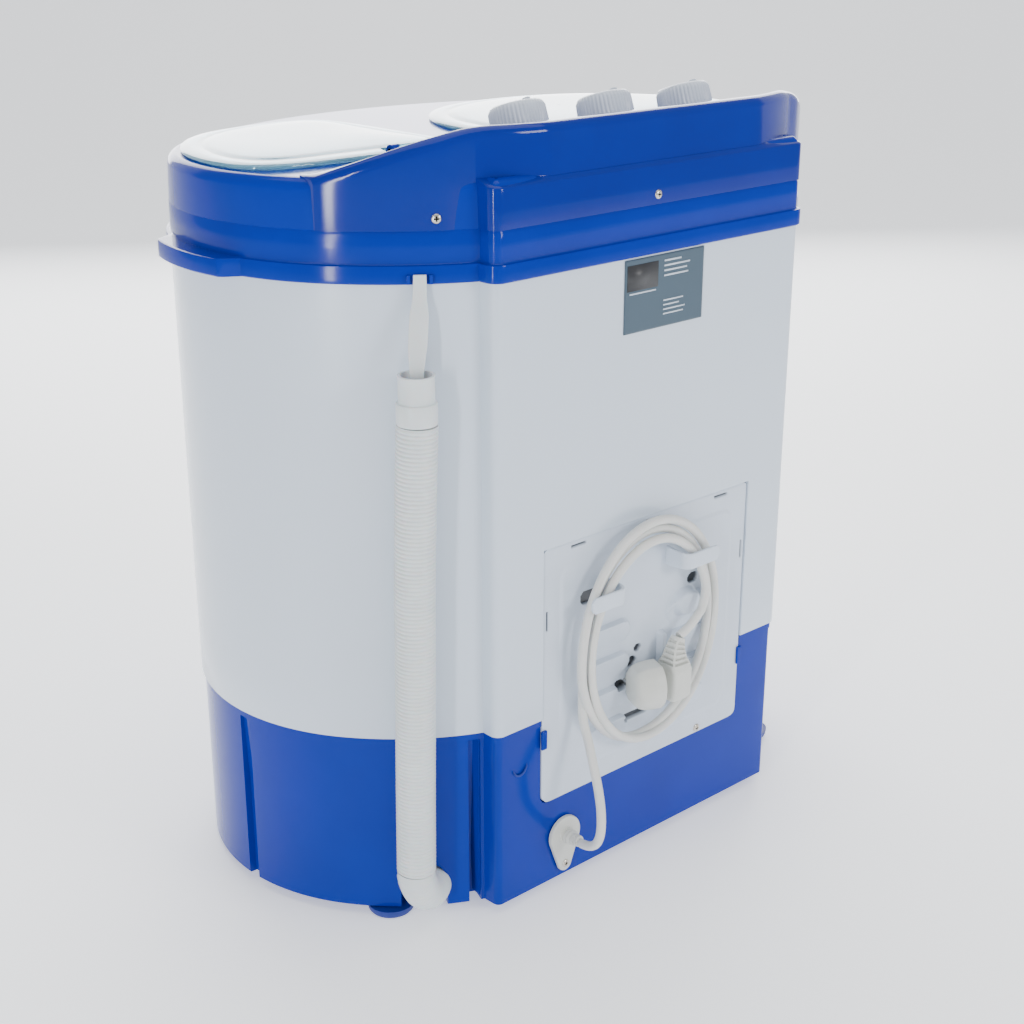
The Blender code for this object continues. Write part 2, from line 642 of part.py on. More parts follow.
def wash_tub():
    """Round wash tub with a dished floor, a rim flange, a drain hole and a shaft hole."""
    r, w, z0, z1 = WASH_R, TUB_WALL, WASH_FLOOR, TUB_TOP
    c = (WASH_X, at_depth(WASH_DEPTH))
    profile = [(0.012, z0), (r * 0.88, z0), (r * 0.95, z0 + 0.012), (r - 0.005, z1 - 0.003),
               (r, z1 - 0.003), (r, z1), (r - 0.005 - w, z1), (r * 0.95 - w, z0 + 0.014),
               (r * 0.88 - w, z0 + w), (0.012, z0 + w)]
    obj = turned("wash_tub", profile, "tub_plastic", c)
    return cut(obj, drain_hole(WASH_X + 0.105, c[1], z0))


def spin_tub():
    """Round outer tub of the spinner, open on top, with holes for the shaft seal and the drain."""
    r, w, z0, z1 = SPIN_R, TUB_WALL, SPIN_FLOOR, TUB_TOP
    c = (SPIN_X, at_depth(SPIN_DEPTH))
    profile = [(0.020, z0), (r, z0), (r, z1), (r - w, z1), (r - w, z0 + w), (0.020, z0 + w)]
    obj = turned("spin_tub", profile, "tub_plastic", c)
    return cut(obj, drain_hole(SPIN_X, c[1] + 0.062, z0))


def spin_basket():
    """Spin basket with rows of drain holes, a rolled rim and a hub cone."""
    r, w = BASKET_R, BASKET_WALL
    z0, z1 = SPIN_FLOOR + 0.014, TUB_TOP - 0.004
    c = (SPIN_X, at_depth(SPIN_DEPTH))
    profile = [(0.0058, z0), (r - 0.006, z0), (r, z0 + 0.006), (r, z1 - 0.004), (r + 0.002, z1 - 0.002),
               (r, z1), (r - 0.004, z1), (r - 0.003, z1 - 0.004), (r - w, z1 - 0.006), (r - w, z0 + 0.0065),
               (r - 0.0065, z0 + w), (0.022, z0 + w), (0.014, z0 + 0.020), (0.0058, z0 + 0.022)]
    obj = turned("spin_basket", profile, "tub_plastic", c, 30)
    bm = bmesh.new()
    for row in range(4):
        z = z0 + 0.05 + row * (z1 - z0 - 0.09) / 3
        for k in range(3):
            a = math.pi * (k + (row % 2) * 0.5) / 3
            arm = Vector((math.cos(a), math.sin(a), 0)) * (r + 0.01)
            axis = (2 * arm).to_track_quat("Z", "Y").to_matrix().to_4x4()
            m = Matrix.Translation(Vector((c[0], c[1], z)) - arm) @ axis
            hexagon = circle(0.003, n=6, turn=0.2)
            ends = [[m @ Vector((x, y, s)) for x, y in hexagon] for s in (0.0, 2 * arm.length)]
            loft("c", ends, "steel", bm=bm)
    return cut(obj, finish("c", bm, "steel"))


def pulsator():
    """Ribbed wash disc: a shallow dome with four curved vanes and a hub that sits on the shaft."""
    z = WASH_FLOOR + TUB_WALL + 0.004
    c = (WASH_X, at_depth(WASH_DEPTH))
    profile = [(0.0058, z), (PULSATOR_R, z), (PULSATOR_R, z + 0.003), (0.045, z + 0.009), (0.014, z + 0.016),
               (0.0058, z + 0.016)]
    obj = turned("pulsator", profile, "tub_plastic", c)
    for k in range(4):
        turn = Matrix.Translation((*c, z)) @ Matrix.Rotation(k * math.pi / 2 + 0.35, 4, "Z")
        rings = []
        for s in np.linspace(0.012, PULSATOR_R - 0.006, 4):
            bend = 0.010 * math.sin(math.pi * s / PULSATOR_R)
            half = 0.0075 - 0.03 * s
            high = 0.024 - 0.16 * s
            rings.append([turn @ Vector((s, bend + half * side, height)) for side, height in
                          ((-1, 0.001), (1, 0.001), (0.4, high), (-0.4, high))])
        join(obj, loft("c", rings, "steel"))
    return obj


def wash_drive():
    """Shaft, gearbox housing, pulleys, belt and motor of the wash side."""
    c = (WASH_X, at_depth(WASH_DEPTH))
    z = WASH_FLOOR
    pulley_z = z - 0.070
    rod("wash_shaft", (*c, pulley_z - 0.006), (*c, z + TUB_WALL + 0.0185), 0.0055, "steel", 20)
    housing = [(0.0062, z + 0.0026), (0.0112, z + 0.0026), (0.0112, z - GAP), (0.034, z - GAP),
               (0.034, z - 0.006), (0.020, z - 0.014), (0.020, z - 0.048), (0.0062, z - 0.048)]
    turned("wash_bearing_housing", housing, "black_plastic", c, 24)
    groove = [(0.0058, pulley_z - 0.006), (0.052, pulley_z - 0.006), (0.052, pulley_z - 0.0045),
              (0.048, pulley_z), (0.052, pulley_z + 0.0045), (0.052, pulley_z + 0.006),
              (0.0058, pulley_z + 0.006)]
    turned("wash_pulley", groove, "aluminium", c, 28)
    m = (WASH_X + 0.105, at_depth(WASH_DEPTH - 0.045))
    small = [(0.0041, pulley_z - 0.030), (0.0041, pulley_z - 0.006), (0.016, pulley_z - 0.006),
             (0.016, pulley_z - 0.0045), (0.012, pulley_z), (0.016, pulley_z + 0.0045),
             (0.016, pulley_z + 0.006), (0.0041, pulley_z + 0.006), (0.0041, pulley_z + 0.009)]
    turned("motor_pulley", small, "aluminium", m, 20, closed=False)
    belt(c, m, 0.0492, 0.0132, pulley_z)
    top = pulley_z - 0.012
    turned("wash_motor", [(0.0048, top), (0.030, top), (0.046, top - 0.010), (0.046, top - 0.062),
                          (0.030, top - 0.072), (0.0048, top - 0.072)], "motor_steel", m, 24)
    low = MOTOR_FLOOR
    foot_end = (m[0] + 0.060, m[1] + 0.030, low + 0.0025)
    obj = block("wash_motor_bracket", (m[0] - 0.060, m[1] - 0.030, low), foot_end, "steel")
    for s in (-1, 1):
        join(obj, block("c", (m[0] + s * 0.055 - 0.004, m[1] - 0.012, low + 0.001),
                        (m[0] + s * 0.055 + 0.004, m[1] + 0.012, top - 0.030), "steel"))
        join(obj, block("c", (m[0] + s * 0.0515 - 0.0047, m[1] - 0.012, top - 0.034),
                        (m[0] + s * 0.0515 + 0.0047, m[1] + 0.012, top - 0.030), "steel"))


def belt(c, m, big, small, z):
    """Round drive belt on the open belt line of two pulleys."""
    gap = Vector((m[0] - c[0], m[1] - c[1]))
    head = math.atan2(gap.y, gap.x)
    lean = math.acos((big - small) / gap.length)
    pts = []
    for a in np.linspace(head + lean, head + 2 * math.pi - lean, 22):
        pts.append((c[0] + big * math.cos(a), c[1] + big * math.sin(a)))
    for a in np.linspace(head - lean, head + lean, 12):
        pts.append((m[0] + small * math.cos(a), m[1] + small * math.sin(a)))
    rings = []
    n = len(pts)
    for i, (x, y) in enumerate(pts):
        before, after = Vector(pts[i - 1]), Vector(pts[(i + 1) % n])
        along = (after - before).normalized()
        side = Vector((along.y, -along.x))
        ring = []
        for du, dz in ((0.0, 0.0021), (0.0026, 0.0030), (0.0026, -0.0030), (0.0, -0.0021)):
            ring.append((x + side.x * (du + 0.0016), y + side.y * (du + 0.0016), z + dz))
        rings.append(ring)
    return loft("drive_belt", rings, "rubber", closed=True)


def spin_drive():
    """Spin shaft, brake drum, bellows seal, motor, its three rubber mounts and the plate under them."""
    c = (SPIN_X, at_depth(SPIN_DEPTH))
    z = SPIN_FLOOR
    drum_z = z - 0.040
    rod("spin_shaft", (*c, drum_z - 0.022), (*c, z + 0.038), 0.0052, "steel", 20)
    turned("spin_seal", [(0.0060, z + 0.010), (0.012, z + 0.010), (0.0195, z + 0.004), (0.0195, z - 0.001),
                         (0.026, z - GAP), (0.026, z - 0.0035), (0.015, z - 0.0035), (0.0092, z + 0.006),
                         (0.0060, z + 0.006)], "rubber", c, 24)
    turned("brake_drum", [(0.0055, drum_z - 0.014), (0.034, drum_z - 0.014), (0.034, drum_z + 0.012),
                          (0.0055, drum_z + 0.012)], "motor_steel", c, 24)
    top = drum_z - 0.0185
    low = MOTOR_FLOOR + 0.026
    turned("spin_motor", [(0.0060, top), (0.028, top), (0.047, top - 0.010), (0.047, low + 0.010),
                          (0.028, low), (0.0060, low)], "motor_steel", c, 24)
    plate = low - GAP
    ring = [(0.012, plate - 0.0025), (0.054, plate - 0.0025), (0.054, plate), (0.012, plate)]
    turned("spin_motor_plate", ring, "steel", c, 24)
    for k in range(3):
        a = math.radians(90 + 120 * k)
        at = (c[0] + 0.042 * math.cos(a), c[1] + 0.042 * math.sin(a))
        zs = np.linspace(MOTOR_FLOOR, plate - 0.0025 - GAP, 7)
        rings = [lift(circle(0.0095 if i % 2 else 0.0075, at, 12), s) for i, s in enumerate(zs)]
        loft(f"spin_mount_{k + 1}", rings, "rubber")


def brake_pivot():
    return (SPIN_X - 0.050, at_depth(SPIN_DEPTH - 0.030))


def brake_lever():
    """Flat lever with a curved shoe end beside the drum, swinging on a stud."""
    c = (SPIN_X, at_depth(SPIN_DEPTH))
    px, py = brake_pivot()
    z = SPIN_FLOOR - 0.040
    hub = circle(0.0065, (px, py), 20)
    obj = loft("brake_lever", [lift(hub, z - 0.003), lift(hub, z + 0.003)], "steel")
    join(obj, block("c", (px - 0.003, py - 0.052, z - 0.002), (px + 0.003, py, z + 0.002), "steel"))
    rings = []
    for a in np.linspace(math.radians(172), math.radians(205), 7):
        ring = []
        for r, dz in ((0.0352, -0.007), (0.0352, 0.007), (0.0400, 0.007), (0.0400, -0.007)):
            ring.append((c[0] + r * math.cos(a), c[1] + r * math.sin(a), z + dz))
        rings.append(ring)
    join(obj, loft("c", rings, "steel"))
    arm_end = (c[0] - 0.0375, py - 0.022, z + 0.002)
    join(obj, block("c", (px - 0.001, py - 0.030, z - 0.002), arm_end, "steel"))
    hole = circle(0.0030, (px, py), 16)
    cut(obj, loft("c", [lift(hole, z - 0.01), lift(hole, z + 0.01)], "steel"))
    rod("brake_stud", (px, py, z - 0.004), (px, py, SPIN_FLOOR - GAP), 0.0026, "steel", 14)
    return obj


def drain_parts():
    """Drain valve with its plunger, the two tub hoses and the outlet into the elbow."""
    vx, vy = 0.128, at_depth(0.090)
    z = FOOT_HEIGHT + BASE_WALL + 0.020
    top = z + 0.036
    turned("drain_valve", [(0.0068, top), (0.016, top), (0.016, top - 0.004), (0.013, top - 0.006),
                           (0.013, z - 0.012), (0.0068, z - 0.012)], "tub_plastic", (vx, vy), 24)
    plunger = [(0.0060, z + 0.010), (0.0060, top - 0.002), (0.0022, top), (0.0022, top + 0.020),
               (0.0045, top + 0.020), (0.0045, top + 0.0235)]
    turned("valve_plunger", plunger, "rubber", (vx, vy), 20, closed=False)
    wash_out = (WASH_X + 0.105, at_depth(WASH_DEPTH))
    tube("wash_drain_hose", [(*wash_out, WASH_FLOOR - 2 * GAP), (*wash_out, WASH_FLOOR - 0.014),
                             (0.046, at_depth(0.150), 0.150), (0.080, at_depth(0.110), 0.105),
                             (0.096, at_depth(0.092), 0.058), (0.106, vy, 0.0505),
                             (vx - 0.0140, vy, 0.050)], 0.007, "black_plastic", 2, 16)
    end = at_depth(ELBOW_ROUTE[-1][1])
    tube("outlet_hose", [(vx + 0.0142, vy, 0.025), (0.150, vy + 0.004, 0.025),
                         (0.165, (vy + end) / 2 + 0.004, 0.025),
                         (ELBOW_ROUTE[-1][0] - 0.0034, end - 0.0040, 0.025)], 0.0105, "black_plastic", 2, 12)
    spin_out = (SPIN_X, at_depth(SPIN_DEPTH) + 0.062)
    tube("spin_drain_hose", [(*spin_out, SPIN_FLOOR - GAP), (*spin_out, SPIN_FLOOR - 0.018),
                             (0.152, at_depth(0.120), 0.130), (0.146, at_depth(0.103), 0.098),
                             (vx + 0.0115, vy - 0.002, top + 0.0105)], 0.0075, "black_plastic", 2, 16)


def lint_filter():
    """Lint filter: a flat frame with a net pocket, hanging in a guide on the tub's wall."""
    a = math.radians(200)
    inner = WASH_R * 0.965 - TUB_WALL - 0.0105
    turn = Matrix.Translation((WASH_X, at_depth(WASH_DEPTH), 0)) @ Matrix.Rotation(a, 4, "Z")
    z = WASH_FLOOR + 0.120
    obj = block("lint_filter", (inner - 0.010, -0.024, z), (inner, 0.024, z + 0.082), "net_fabric")
    mod = obj.modifiers.new("edge", "BEVEL")
    mod.width, mod.segments = 0.003, 2
    apply_modifiers(obj)
    return place(obj, turn)


def electrics():
    """The motors' run capacitor and the wiring trunk that climbs the back to the console."""
    low = MOTOR_FLOOR
    turned("run_capacitor", [(0.019, low), (0.019, low + 0.058), (0.016, low + 0.062)], "aluminium",
           (-0.130, at_depth(0.060)), 28, closed=False)
    y = at_depth(0.0165)
    tube("wiring_trunk", [(-0.112, at_depth(0.036), low + 0.001), (-0.112, at_depth(0.030), 0.050),
                          (-0.114, y, 0.110), (-0.116, y, 0.250), (-0.112, y, 0.400), (-0.100, y, 0.480),
                          (-0.090, at_depth(0.020), 0.515)], 0.005, "black_plastic", 2, 20)


# Back
def rounded_plate(name, half, bottom, top, radii, y0, y1, slot):
    """Upright plate with faces at y0 and y1; radii are those of its bottom and its top corners."""
    low, high = radii
    ring = []
    for cx, cz, r, a0 in ((half - low, bottom + low, low, -90), (half - high, top - high, high, 0),
                          (-half + high, top - high, high, 90), (-half + low, bottom + low, low, 180)):
        for a in np.linspace(a0, a0 + 90, 5):
            ring.append((cx + r * math.cos(math.radians(a)), cz + r * math.sin(math.radians(a))))
    return loft(name, [[(x, y, z) for x, z in ring] for y in (y1, y0)], slot)


def pill(half_length, half_height, centre, y0, y1, taper=0.0):
    """Upright pill-shaped solid between y0 and y1, smaller at y1 by the taper."""
    x, z = centre
    rings = []
    for y, shrink in ((y0, 0.0), (y1, taper)):
        r, run = half_height - shrink, half_length - half_height
        ring = []
        for side, a0 in ((1, -90), (-1, 90)):
            for a in np.linspace(a0, a0 + 180, 6):
                turn = math.radians(a)
                ring.append((x + side * run + r * math.cos(turn), y, z + r * math.sin(turn)))
        rings.append(ring)
    return loft("c", rings, "steel")


HOOKS = ((0.0442, 0.0800, 0.0042), (-0.0150, -0.0520, -0.0100))  # root x, tip x, stem width (signed)


def back_panel():
    """Access panel: a sunk plate with two rows of raised louvres, two cord hooks, slots and plug holes."""
    face, rear = PANEL_FACE, PANEL_FACE - PANEL_THICK
    obj = rounded_plate("back_panel", PANEL_HALF, PANEL_BOTTOM, PANEL_TOP, (0.008, 0.004), rear, face,
                        "panel_plastic")
    for row in range(4):
        z = 0.198 - row * 0.0305
        for x in (0.043, -0.041):
            join(obj, pill(0.024, 0.0115, (x, z), face - 0.001, face + LOUVRE_PROUD, 0.0035))
    tip_y = BACK_Y + HOOK_REACH
    for root, tip, stem in HOOKS:
        slot_x = (root + tip) / 2 + (tip - root) * 0.2
        cut(obj, pill(abs(tip - root) * 0.30, 0.0055, (slot_x, HOOK_Z - 0.005), rear - 0.01, face + 0.01))
        low, high = sorted((root, root + stem))
        join(obj, block("c", (low, face - 0.001, HOOK_Z - 0.006), (high, tip_y, HOOK_Z + 0.006), "steel"))
        low, high = sorted((root, tip))
        finger = (low, tip_y - HOOK_THICK, HOOK_Z - 0.006)
        join(obj, block("c", finger, (high, tip_y, HOOK_Z + 0.006), "steel"))
    cut(obj, pill(0.014, 0.0028, (0.008, 0.1195), rear - 0.01, face + 0.01))
    for side in (-1, 1):
        pin = plug_pin(side)
        cut(obj, rod("c", (pin[0], rear - 0.01, pin[1]), (pin[0], face + 0.01, pin[1]), 0.0031, "steel", 16))
    return obj


def plug_axis():
    """Unit vector of the plug's neck in the plane of the back."""
    v = Vector((RELIEF_END[0] - PLUG_X, 0.0, RELIEF_END[2] - PLUG_Z))
    return v.normalized()


def plug_pin(side):
    across = Vector((-plug_axis().z, 0.0, plug_axis().x))
    return PLUG_X + side * 0.0095 * across.x, PLUG_Z + side * 0.0095 * across.z


def mains_plug():
    """Angled two-pin plug: a round head flat on the panel, a neck with a strain relief, and two pins."""
    y0, y1 = BACK_Y + 0.0042, BACK_Y + 0.0275
    rings = []
    for y, r in ((y0, 0.92), (y0 + 0.003, 1.0), (y1 - 0.007, 0.98), (y1 - 0.002, 0.86), (y1, 0.62)):
        rings.append([(PLUG_X + PLUG_R * r * math.cos(a), y, PLUG_Z + PLUG_R * r * math.sin(a))
                      for a in np.linspace(0, -2 * math.pi, 23)[:-1]])
    obj = loft("mains_plug", rings, "lead_plastic")
    along = plug_axis()
    across = Vector((-along.z, 0.0, along.x))
    y = BACK_Y - RELIEF_END[1]
    base_point = Vector((PLUG_X, y, PLUG_Z))
    length = (Vector((RELIEF_END[0], y, RELIEF_END[2])) - base_point).length
    rings = []
    for s, w, d in ((0.006, 0.0120, 0.0095), (0.022, 0.0105, 0.0090), (0.030, 0.0078, 0.0068),
                    (length, 0.0048, 0.0048)):
        ring = []
        for a in np.linspace(0, 2 * math.pi, 17)[:-1]:
            off = across * (w * math.cos(a)) + Vector((0, d * math.sin(a), 0))
            ring.append(base_point + along * s + off)
        rings.append(ring)
    join(obj, loft("c", rings, "steel"))
    for side in (-1, 1):
        px, pz = plug_pin(side)
        join(obj, rod("c", (px, y0 + 0.002, pz), (px, y0 - 0.0185, pz), 0.0024, "steel", 14))
    return obj


def lead_coil():
    """Closed outer shape of the oval coil: a flat band swept round an ellipse."""
    y = BACK_Y + LOUVRE_PROUD - PANEL_SINK + GAP * 3
    rings = []
    for a in np.linspace(0, 2 * math.pi, 41)[:-1]:
        ring = []
        for du, dy in ((0.0, 0.003), (0.0, COIL_THICK - 0.003), (0.003, COIL_THICK),
                       (COIL_BAND - 0.003, COIL_THICK), (COIL_BAND, COIL_THICK - 0.003), (COIL_BAND, 0.003),
                       (COIL_BAND - 0.003, 0.0), (0.003, 0.0)):
            ring.append((COIL_X + (COIL_HALF_WIDTH - du) * math.cos(a), y + dy,
                         COIL_Z + (COIL_HALF_HEIGHT - du) * math.sin(a)))
        rings.append(ring)
    return loft("lead_coil", rings, "lead_plastic", closed=True)


def cord_gland():
    """Teardrop plate on the base with a boss that the mains lead comes out of."""
    y0, y1 = BACK_Y - BASE_INSET + GAP, BACK_Y - BASE_INSET + 0.0030
    big, small, drop = 0.0150, 0.0065, 0.0245
    lean = math.acos((big - small) / drop)
    ring = []
    for a in np.linspace(-math.pi / 2 + lean, 1.5 * math.pi - lean, 20):
        ring.append((GLAND_X + big * math.cos(a), GLAND_Z + big * math.sin(a)))
    for a in np.linspace(1.5 * math.pi - lean, 1.5 * math.pi + lean, 9):
        ring.append((GLAND_X + small * math.cos(a), GLAND_Z - drop + small * math.sin(a)))
    obj = loft("cord_gland", [[(x, y, z) for x, z in ring] for y in (y1, y0)], "lead_plastic")
    boss_end = (GLAND_X, BACK_Y + 0.0137, GLAND_Z)
    join(obj, rod("c", (GLAND_X, y1 - 0.001, GLAND_Z), boss_end, 0.0060, "steel", 20))
    join(obj, rod("c", (GLAND_X, y0 + 0.001, GLAND_Z), (GLAND_X, y0 - 0.0060, GLAND_Z), 0.0046, "steel", 20))
    return obj


def hose_parts():
    """Drain elbow, hose, its end cuff and the hanger strap that holds the cuff up to the rim."""
    tube("drain_elbow", from_back(ELBOW_ROUTE), HOSE_R - 0.0002, "hose_plastic", 3, 14)
    tube("drain_hose", from_back(HOSE_ROUTE), HOSE_R, "hose_plastic", 3, 16)
    x, d, z = HOSE_ROUTE[-1]
    c = (x, at_depth(d))
    low = z + 4 * GAP
    turned("hose_cuff", [(0.0136, low), (0.0136, z + 0.0150), (0.0120, z + 0.0155), (0.0118, z + 0.0330),
                         (0.0100, z + 0.0330), (0.0100, low)], "hose_plastic", c, 20)
    hanger(c, z + 0.0330)


def hanger(c, cuff_top):
    """Plastic strap from the rim's pocket down into the hose's cuff, widest below the rim."""
    wall = Vector((REAR_ARC_X, at_depth(REAR_ARC_DEPTH)))
    out = (Vector(c) - wall).normalized()
    side = Vector((-out.y, out.x))
    reach = (Vector(c) - wall).length - REAR_ARC_R
    rings = []
    for z, off, half in ((cuff_top - 0.012, reach, 0.0042), (cuff_top + 0.010, reach - 0.0010, 0.0046),
                         (cuff_top + 0.030, reach - 0.0060, 0.0062), (RIM_BOTTOM - 0.010, 0.0065, 0.0062),
                         (RIM_BOTTOM + 0.001, 0.0050, 0.0046), (RIM_TOP + 0.001, 0.0046, 0.0042)):
        ring = []
        for du, dv in ((-half, -0.0009), (half, -0.0009), (half, 0.0009), (-half, 0.0009)):
            p = wall + out * (REAR_ARC_R + off + dv) + side * du
            ring.append((p.x, p.y, z))
        rings.append(ring)
    return loft("hose_hanger", rings, "hose_plastic")


def rating_label():
    """Blank plate stuck on the casing's back."""
    y = BACK_Y + GAP
    return rounded_plate("rating_label", 0.0395, 0.417, 0.470, (0.002, 0.002), y, y + 0.0005, "label")


def screw(name, head, direction, r=0.0035):
    """Pan-head screw seen from outside: only the head and a short shank stub."""
    out = Vector(direction).normalized()
    start = Vector(head)
    return rod(name, start + out * GAP, start + out * (GAP + 0.0022), r, "steel", 20)


def screws():
    """Head of the screw that holds the back panel's foot."""
    screw("panel_screw", (-0.060, PANEL_FACE, PANEL_BOTTOM + 0.0075), (0, 1, 0), 0.003)


FEET = ((0.2000, 0.0640), (-0.2000, 0.0640), (0.150, 0.285), (-0.150, 0.285))


def feet():
    """Four round rubber feet under the base."""
    for i, (x, d) in enumerate(FEET):
        turned(f"foot_{i + 1}", [(0.0165, 0.0), (0.0185, 0.0012), (0.0185, FOOT_HEIGHT - GAP)], "blue_foot",
               (x, at_depth(d)), 20, closed=False)


def build():
    clear_scene()
    base()
    body_shell()
    top_frame()
    console_cover()
    for name, shape in (("wash", WASH_LID), ("spin", SPIN_LID)):
        lid(f"{name}_lid", shape)
        hinge_pin(f"{name}_hinge_pin", shape)
    switches = (("spin_timer", (0.044, 0.034, 0.022)), ("selector", (0.030, 0.028, 0.020)),
                ("wash_timer", (0.050, 0.036, 0.024)))
    for i, (name, size) in enumerate(switches):
        knob(f"{name}_knob", i)
        switch_body(f"{name}_switch", i, size)
    timer_bracket()
    wash_tub()
    spin_tub()
    spin_basket()
    pulsator()
    wash_drive()
    spin_drive()
    brake_lever()
    drain_parts()
    lint_filter()
    electrics()
    back_panel()
    mains_plug()
    lead_coil()
    cord_gland()
    tube("mains_lead", from_back(LEAD_ROUTE), LEAD_R, "lead_plastic", 2, 24)
    tube("lead_tail", from_back(TAIL_ROUTE), LEAD_R, "lead_plastic", 2, 8)
    hose_parts()
    rating_label()
    screws()
    feet()


build()
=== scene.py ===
import json
import math

import bmesh
import bpy
import numpy as np
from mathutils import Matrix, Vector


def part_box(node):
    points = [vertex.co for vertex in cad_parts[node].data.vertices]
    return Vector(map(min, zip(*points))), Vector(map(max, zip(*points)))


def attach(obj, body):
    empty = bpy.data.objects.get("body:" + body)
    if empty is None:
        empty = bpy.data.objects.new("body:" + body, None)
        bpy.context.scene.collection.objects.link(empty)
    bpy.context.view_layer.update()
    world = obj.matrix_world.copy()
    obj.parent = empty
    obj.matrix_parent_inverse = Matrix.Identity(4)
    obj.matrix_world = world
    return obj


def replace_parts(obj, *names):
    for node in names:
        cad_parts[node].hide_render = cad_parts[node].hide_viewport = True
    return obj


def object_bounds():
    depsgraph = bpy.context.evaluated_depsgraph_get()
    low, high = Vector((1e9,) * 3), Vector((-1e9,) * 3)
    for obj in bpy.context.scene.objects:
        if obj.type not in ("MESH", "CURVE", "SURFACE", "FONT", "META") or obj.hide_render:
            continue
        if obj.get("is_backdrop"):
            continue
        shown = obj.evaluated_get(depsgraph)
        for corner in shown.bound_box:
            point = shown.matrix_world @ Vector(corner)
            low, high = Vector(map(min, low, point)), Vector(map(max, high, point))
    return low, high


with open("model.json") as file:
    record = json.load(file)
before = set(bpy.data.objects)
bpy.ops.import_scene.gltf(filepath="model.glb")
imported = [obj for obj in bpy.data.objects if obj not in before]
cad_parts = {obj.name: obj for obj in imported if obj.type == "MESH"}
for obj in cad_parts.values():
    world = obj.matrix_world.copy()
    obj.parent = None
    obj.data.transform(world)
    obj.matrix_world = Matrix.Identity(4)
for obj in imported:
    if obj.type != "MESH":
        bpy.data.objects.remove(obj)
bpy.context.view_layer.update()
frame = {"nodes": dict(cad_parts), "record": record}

print("frame loaded")

# camera first, at the level of the console and behind the machine on its spin side
view = {"place": (0.8237, 0.9331, 0.7054), "turn": (69.23, 0.0, 138.17), "lens": 57.71}
camData = bpy.data.cameras.new("camera")
camData.lens = view["lens"]
camData.sensor_width = 36.0
camData.clip_start, camData.clip_end = 0.02, 60.0
cam = bpy.data.objects.new("camera", camData)
bpy.context.scene.collection.objects.link(cam)
cam.location = view["place"]
cam.rotation_euler = [math.radians(a) for a in view["turn"]]
bpy.context.scene.camera = cam
print("camera placed")


# mesh makers
def gridFaces(rows, cols, closeU, closeV):
    # every cell of a rows x cols table of points is one quad; a closed way joins its last line to its first
    idx = np.arange(rows * cols).reshape(rows, cols)
    if closeU:
        idx = np.vstack([idx, idx[:1]])
    if closeV:
        idx = np.hstack([idx, idx[:, :1]])
    return np.stack([idx[:-1, :-1], idx[:-1, 1:], idx[1:, 1:], idx[1:, :-1]], axis=-1).reshape(-1, 4)


def gridPiece(name, grid, body, mat, closeU=False, closeV=True, caps=True, angle=35.0, layers=None):
    # skins a table of points (rows, cols, 3); end rows of a closed tube are filled; layers are per-point values
    grid = np.asarray(grid, float)
    rows, cols = grid.shape[:2]
    faces = gridFaces(rows, cols, closeU, closeV).tolist()
    if caps and closeV and not closeU:
        faces.append(list(range(cols))[::-1])
        faces.append(list(range((rows - 1) * cols, rows * cols)))
    return meshPiece(name, grid.reshape(-1, 3), faces, body, mat, angle, layers)


def meshPiece(name, points, faces, body, mat, angle=35.0, layers=None):
    # links a mesh of these points and faces, welds what coincides and turns every face outwards
    mesh = bpy.data.meshes.new(name)
    mesh.from_pydata(points.tolist(), [], faces)
    for key, values in (layers or {}).items():
        mesh.attributes.new(key, "FLOAT", "POINT").data.foreach_set("value", np.asarray(values, float).ravel())
    bm = bmesh.new()
    bm.from_mesh(mesh)
    bmesh.ops.remove_doubles(bm, verts=bm.verts, dist=2e-6)
    bmesh.ops.dissolve_degenerate(bm, edges=bm.edges, dist=1e-6)
    bmesh.ops.recalc_face_normals(bm, faces=bm.faces)
    bm.to_mesh(mesh)
    bm.free()
    mesh.shade_smooth()
    mesh.set_sharp_from_angle(angle=math.radians(angle))
    obj = bpy.data.objects.new(name, mesh)
    bpy.context.scene.collection.objects.link(obj)
    obj.data.materials.append(mat)
    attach(obj, body)
    return obj


def bezel(obj, width, segments=2, angle=40.0):
    # rounds the edges that turn by more than the angle, by a bevel of this width
    mod = obj.modifiers.new("edge", "BEVEL")
    mod.width, mod.segments = width, segments
    mod.limit_method, mod.angle_limit = "ANGLE", math.radians(angle)
    mod.harden_normals = False
    return obj


def smooth(t):
    # nothing below 0, one above 1, and three t squared less two t cubed between
    t = np.clip(t, 0.0, 1.0)
    return t * t * (3 - 2 * t)


def pathThrough(route, count):
    # even steps along the centripetal cubic through the route's points
    p = np.asarray(route, float)
    p = np.vstack([2 * p[0] - p[1], p, 2 * p[-1] - p[-2]])
    t = np.linspace(0, 1, 24, endpoint=False)[None, :, None]
    a, b, c, d = (p[i:len(p) - 3 + i, None, :] for i in range(4))
    fine = 0.5 * (2 * b + (c - a) * t + (2 * a - 5 * b + 4 * c - d) * t ** 2 + (3 * b - a - 3 * c + d) * t ** 3)
    fine = np.vstack([fine.reshape(-1, 3), p[-2:-1]])
    run = np.concatenate([[0], np.cumsum(np.linalg.norm(np.diff(fine, axis=0), axis=1))])
    even = np.linspace(0, run[-1], count)
    return np.stack([np.interp(even, run, fine[:, k]) for k in range(3)], axis=1), run[-1]


def pathFrames(path, guide):
    # two directions square to the path at each point, the first nearest to square with the guide
    along = np.gradient(path, axis=0)
    along /= np.linalg.norm(along, axis=1)[:, None]
    side = np.cross(along, np.asarray(guide, float))
    side /= np.linalg.norm(side, axis=1)[:, None]
    return side, np.cross(along, side)


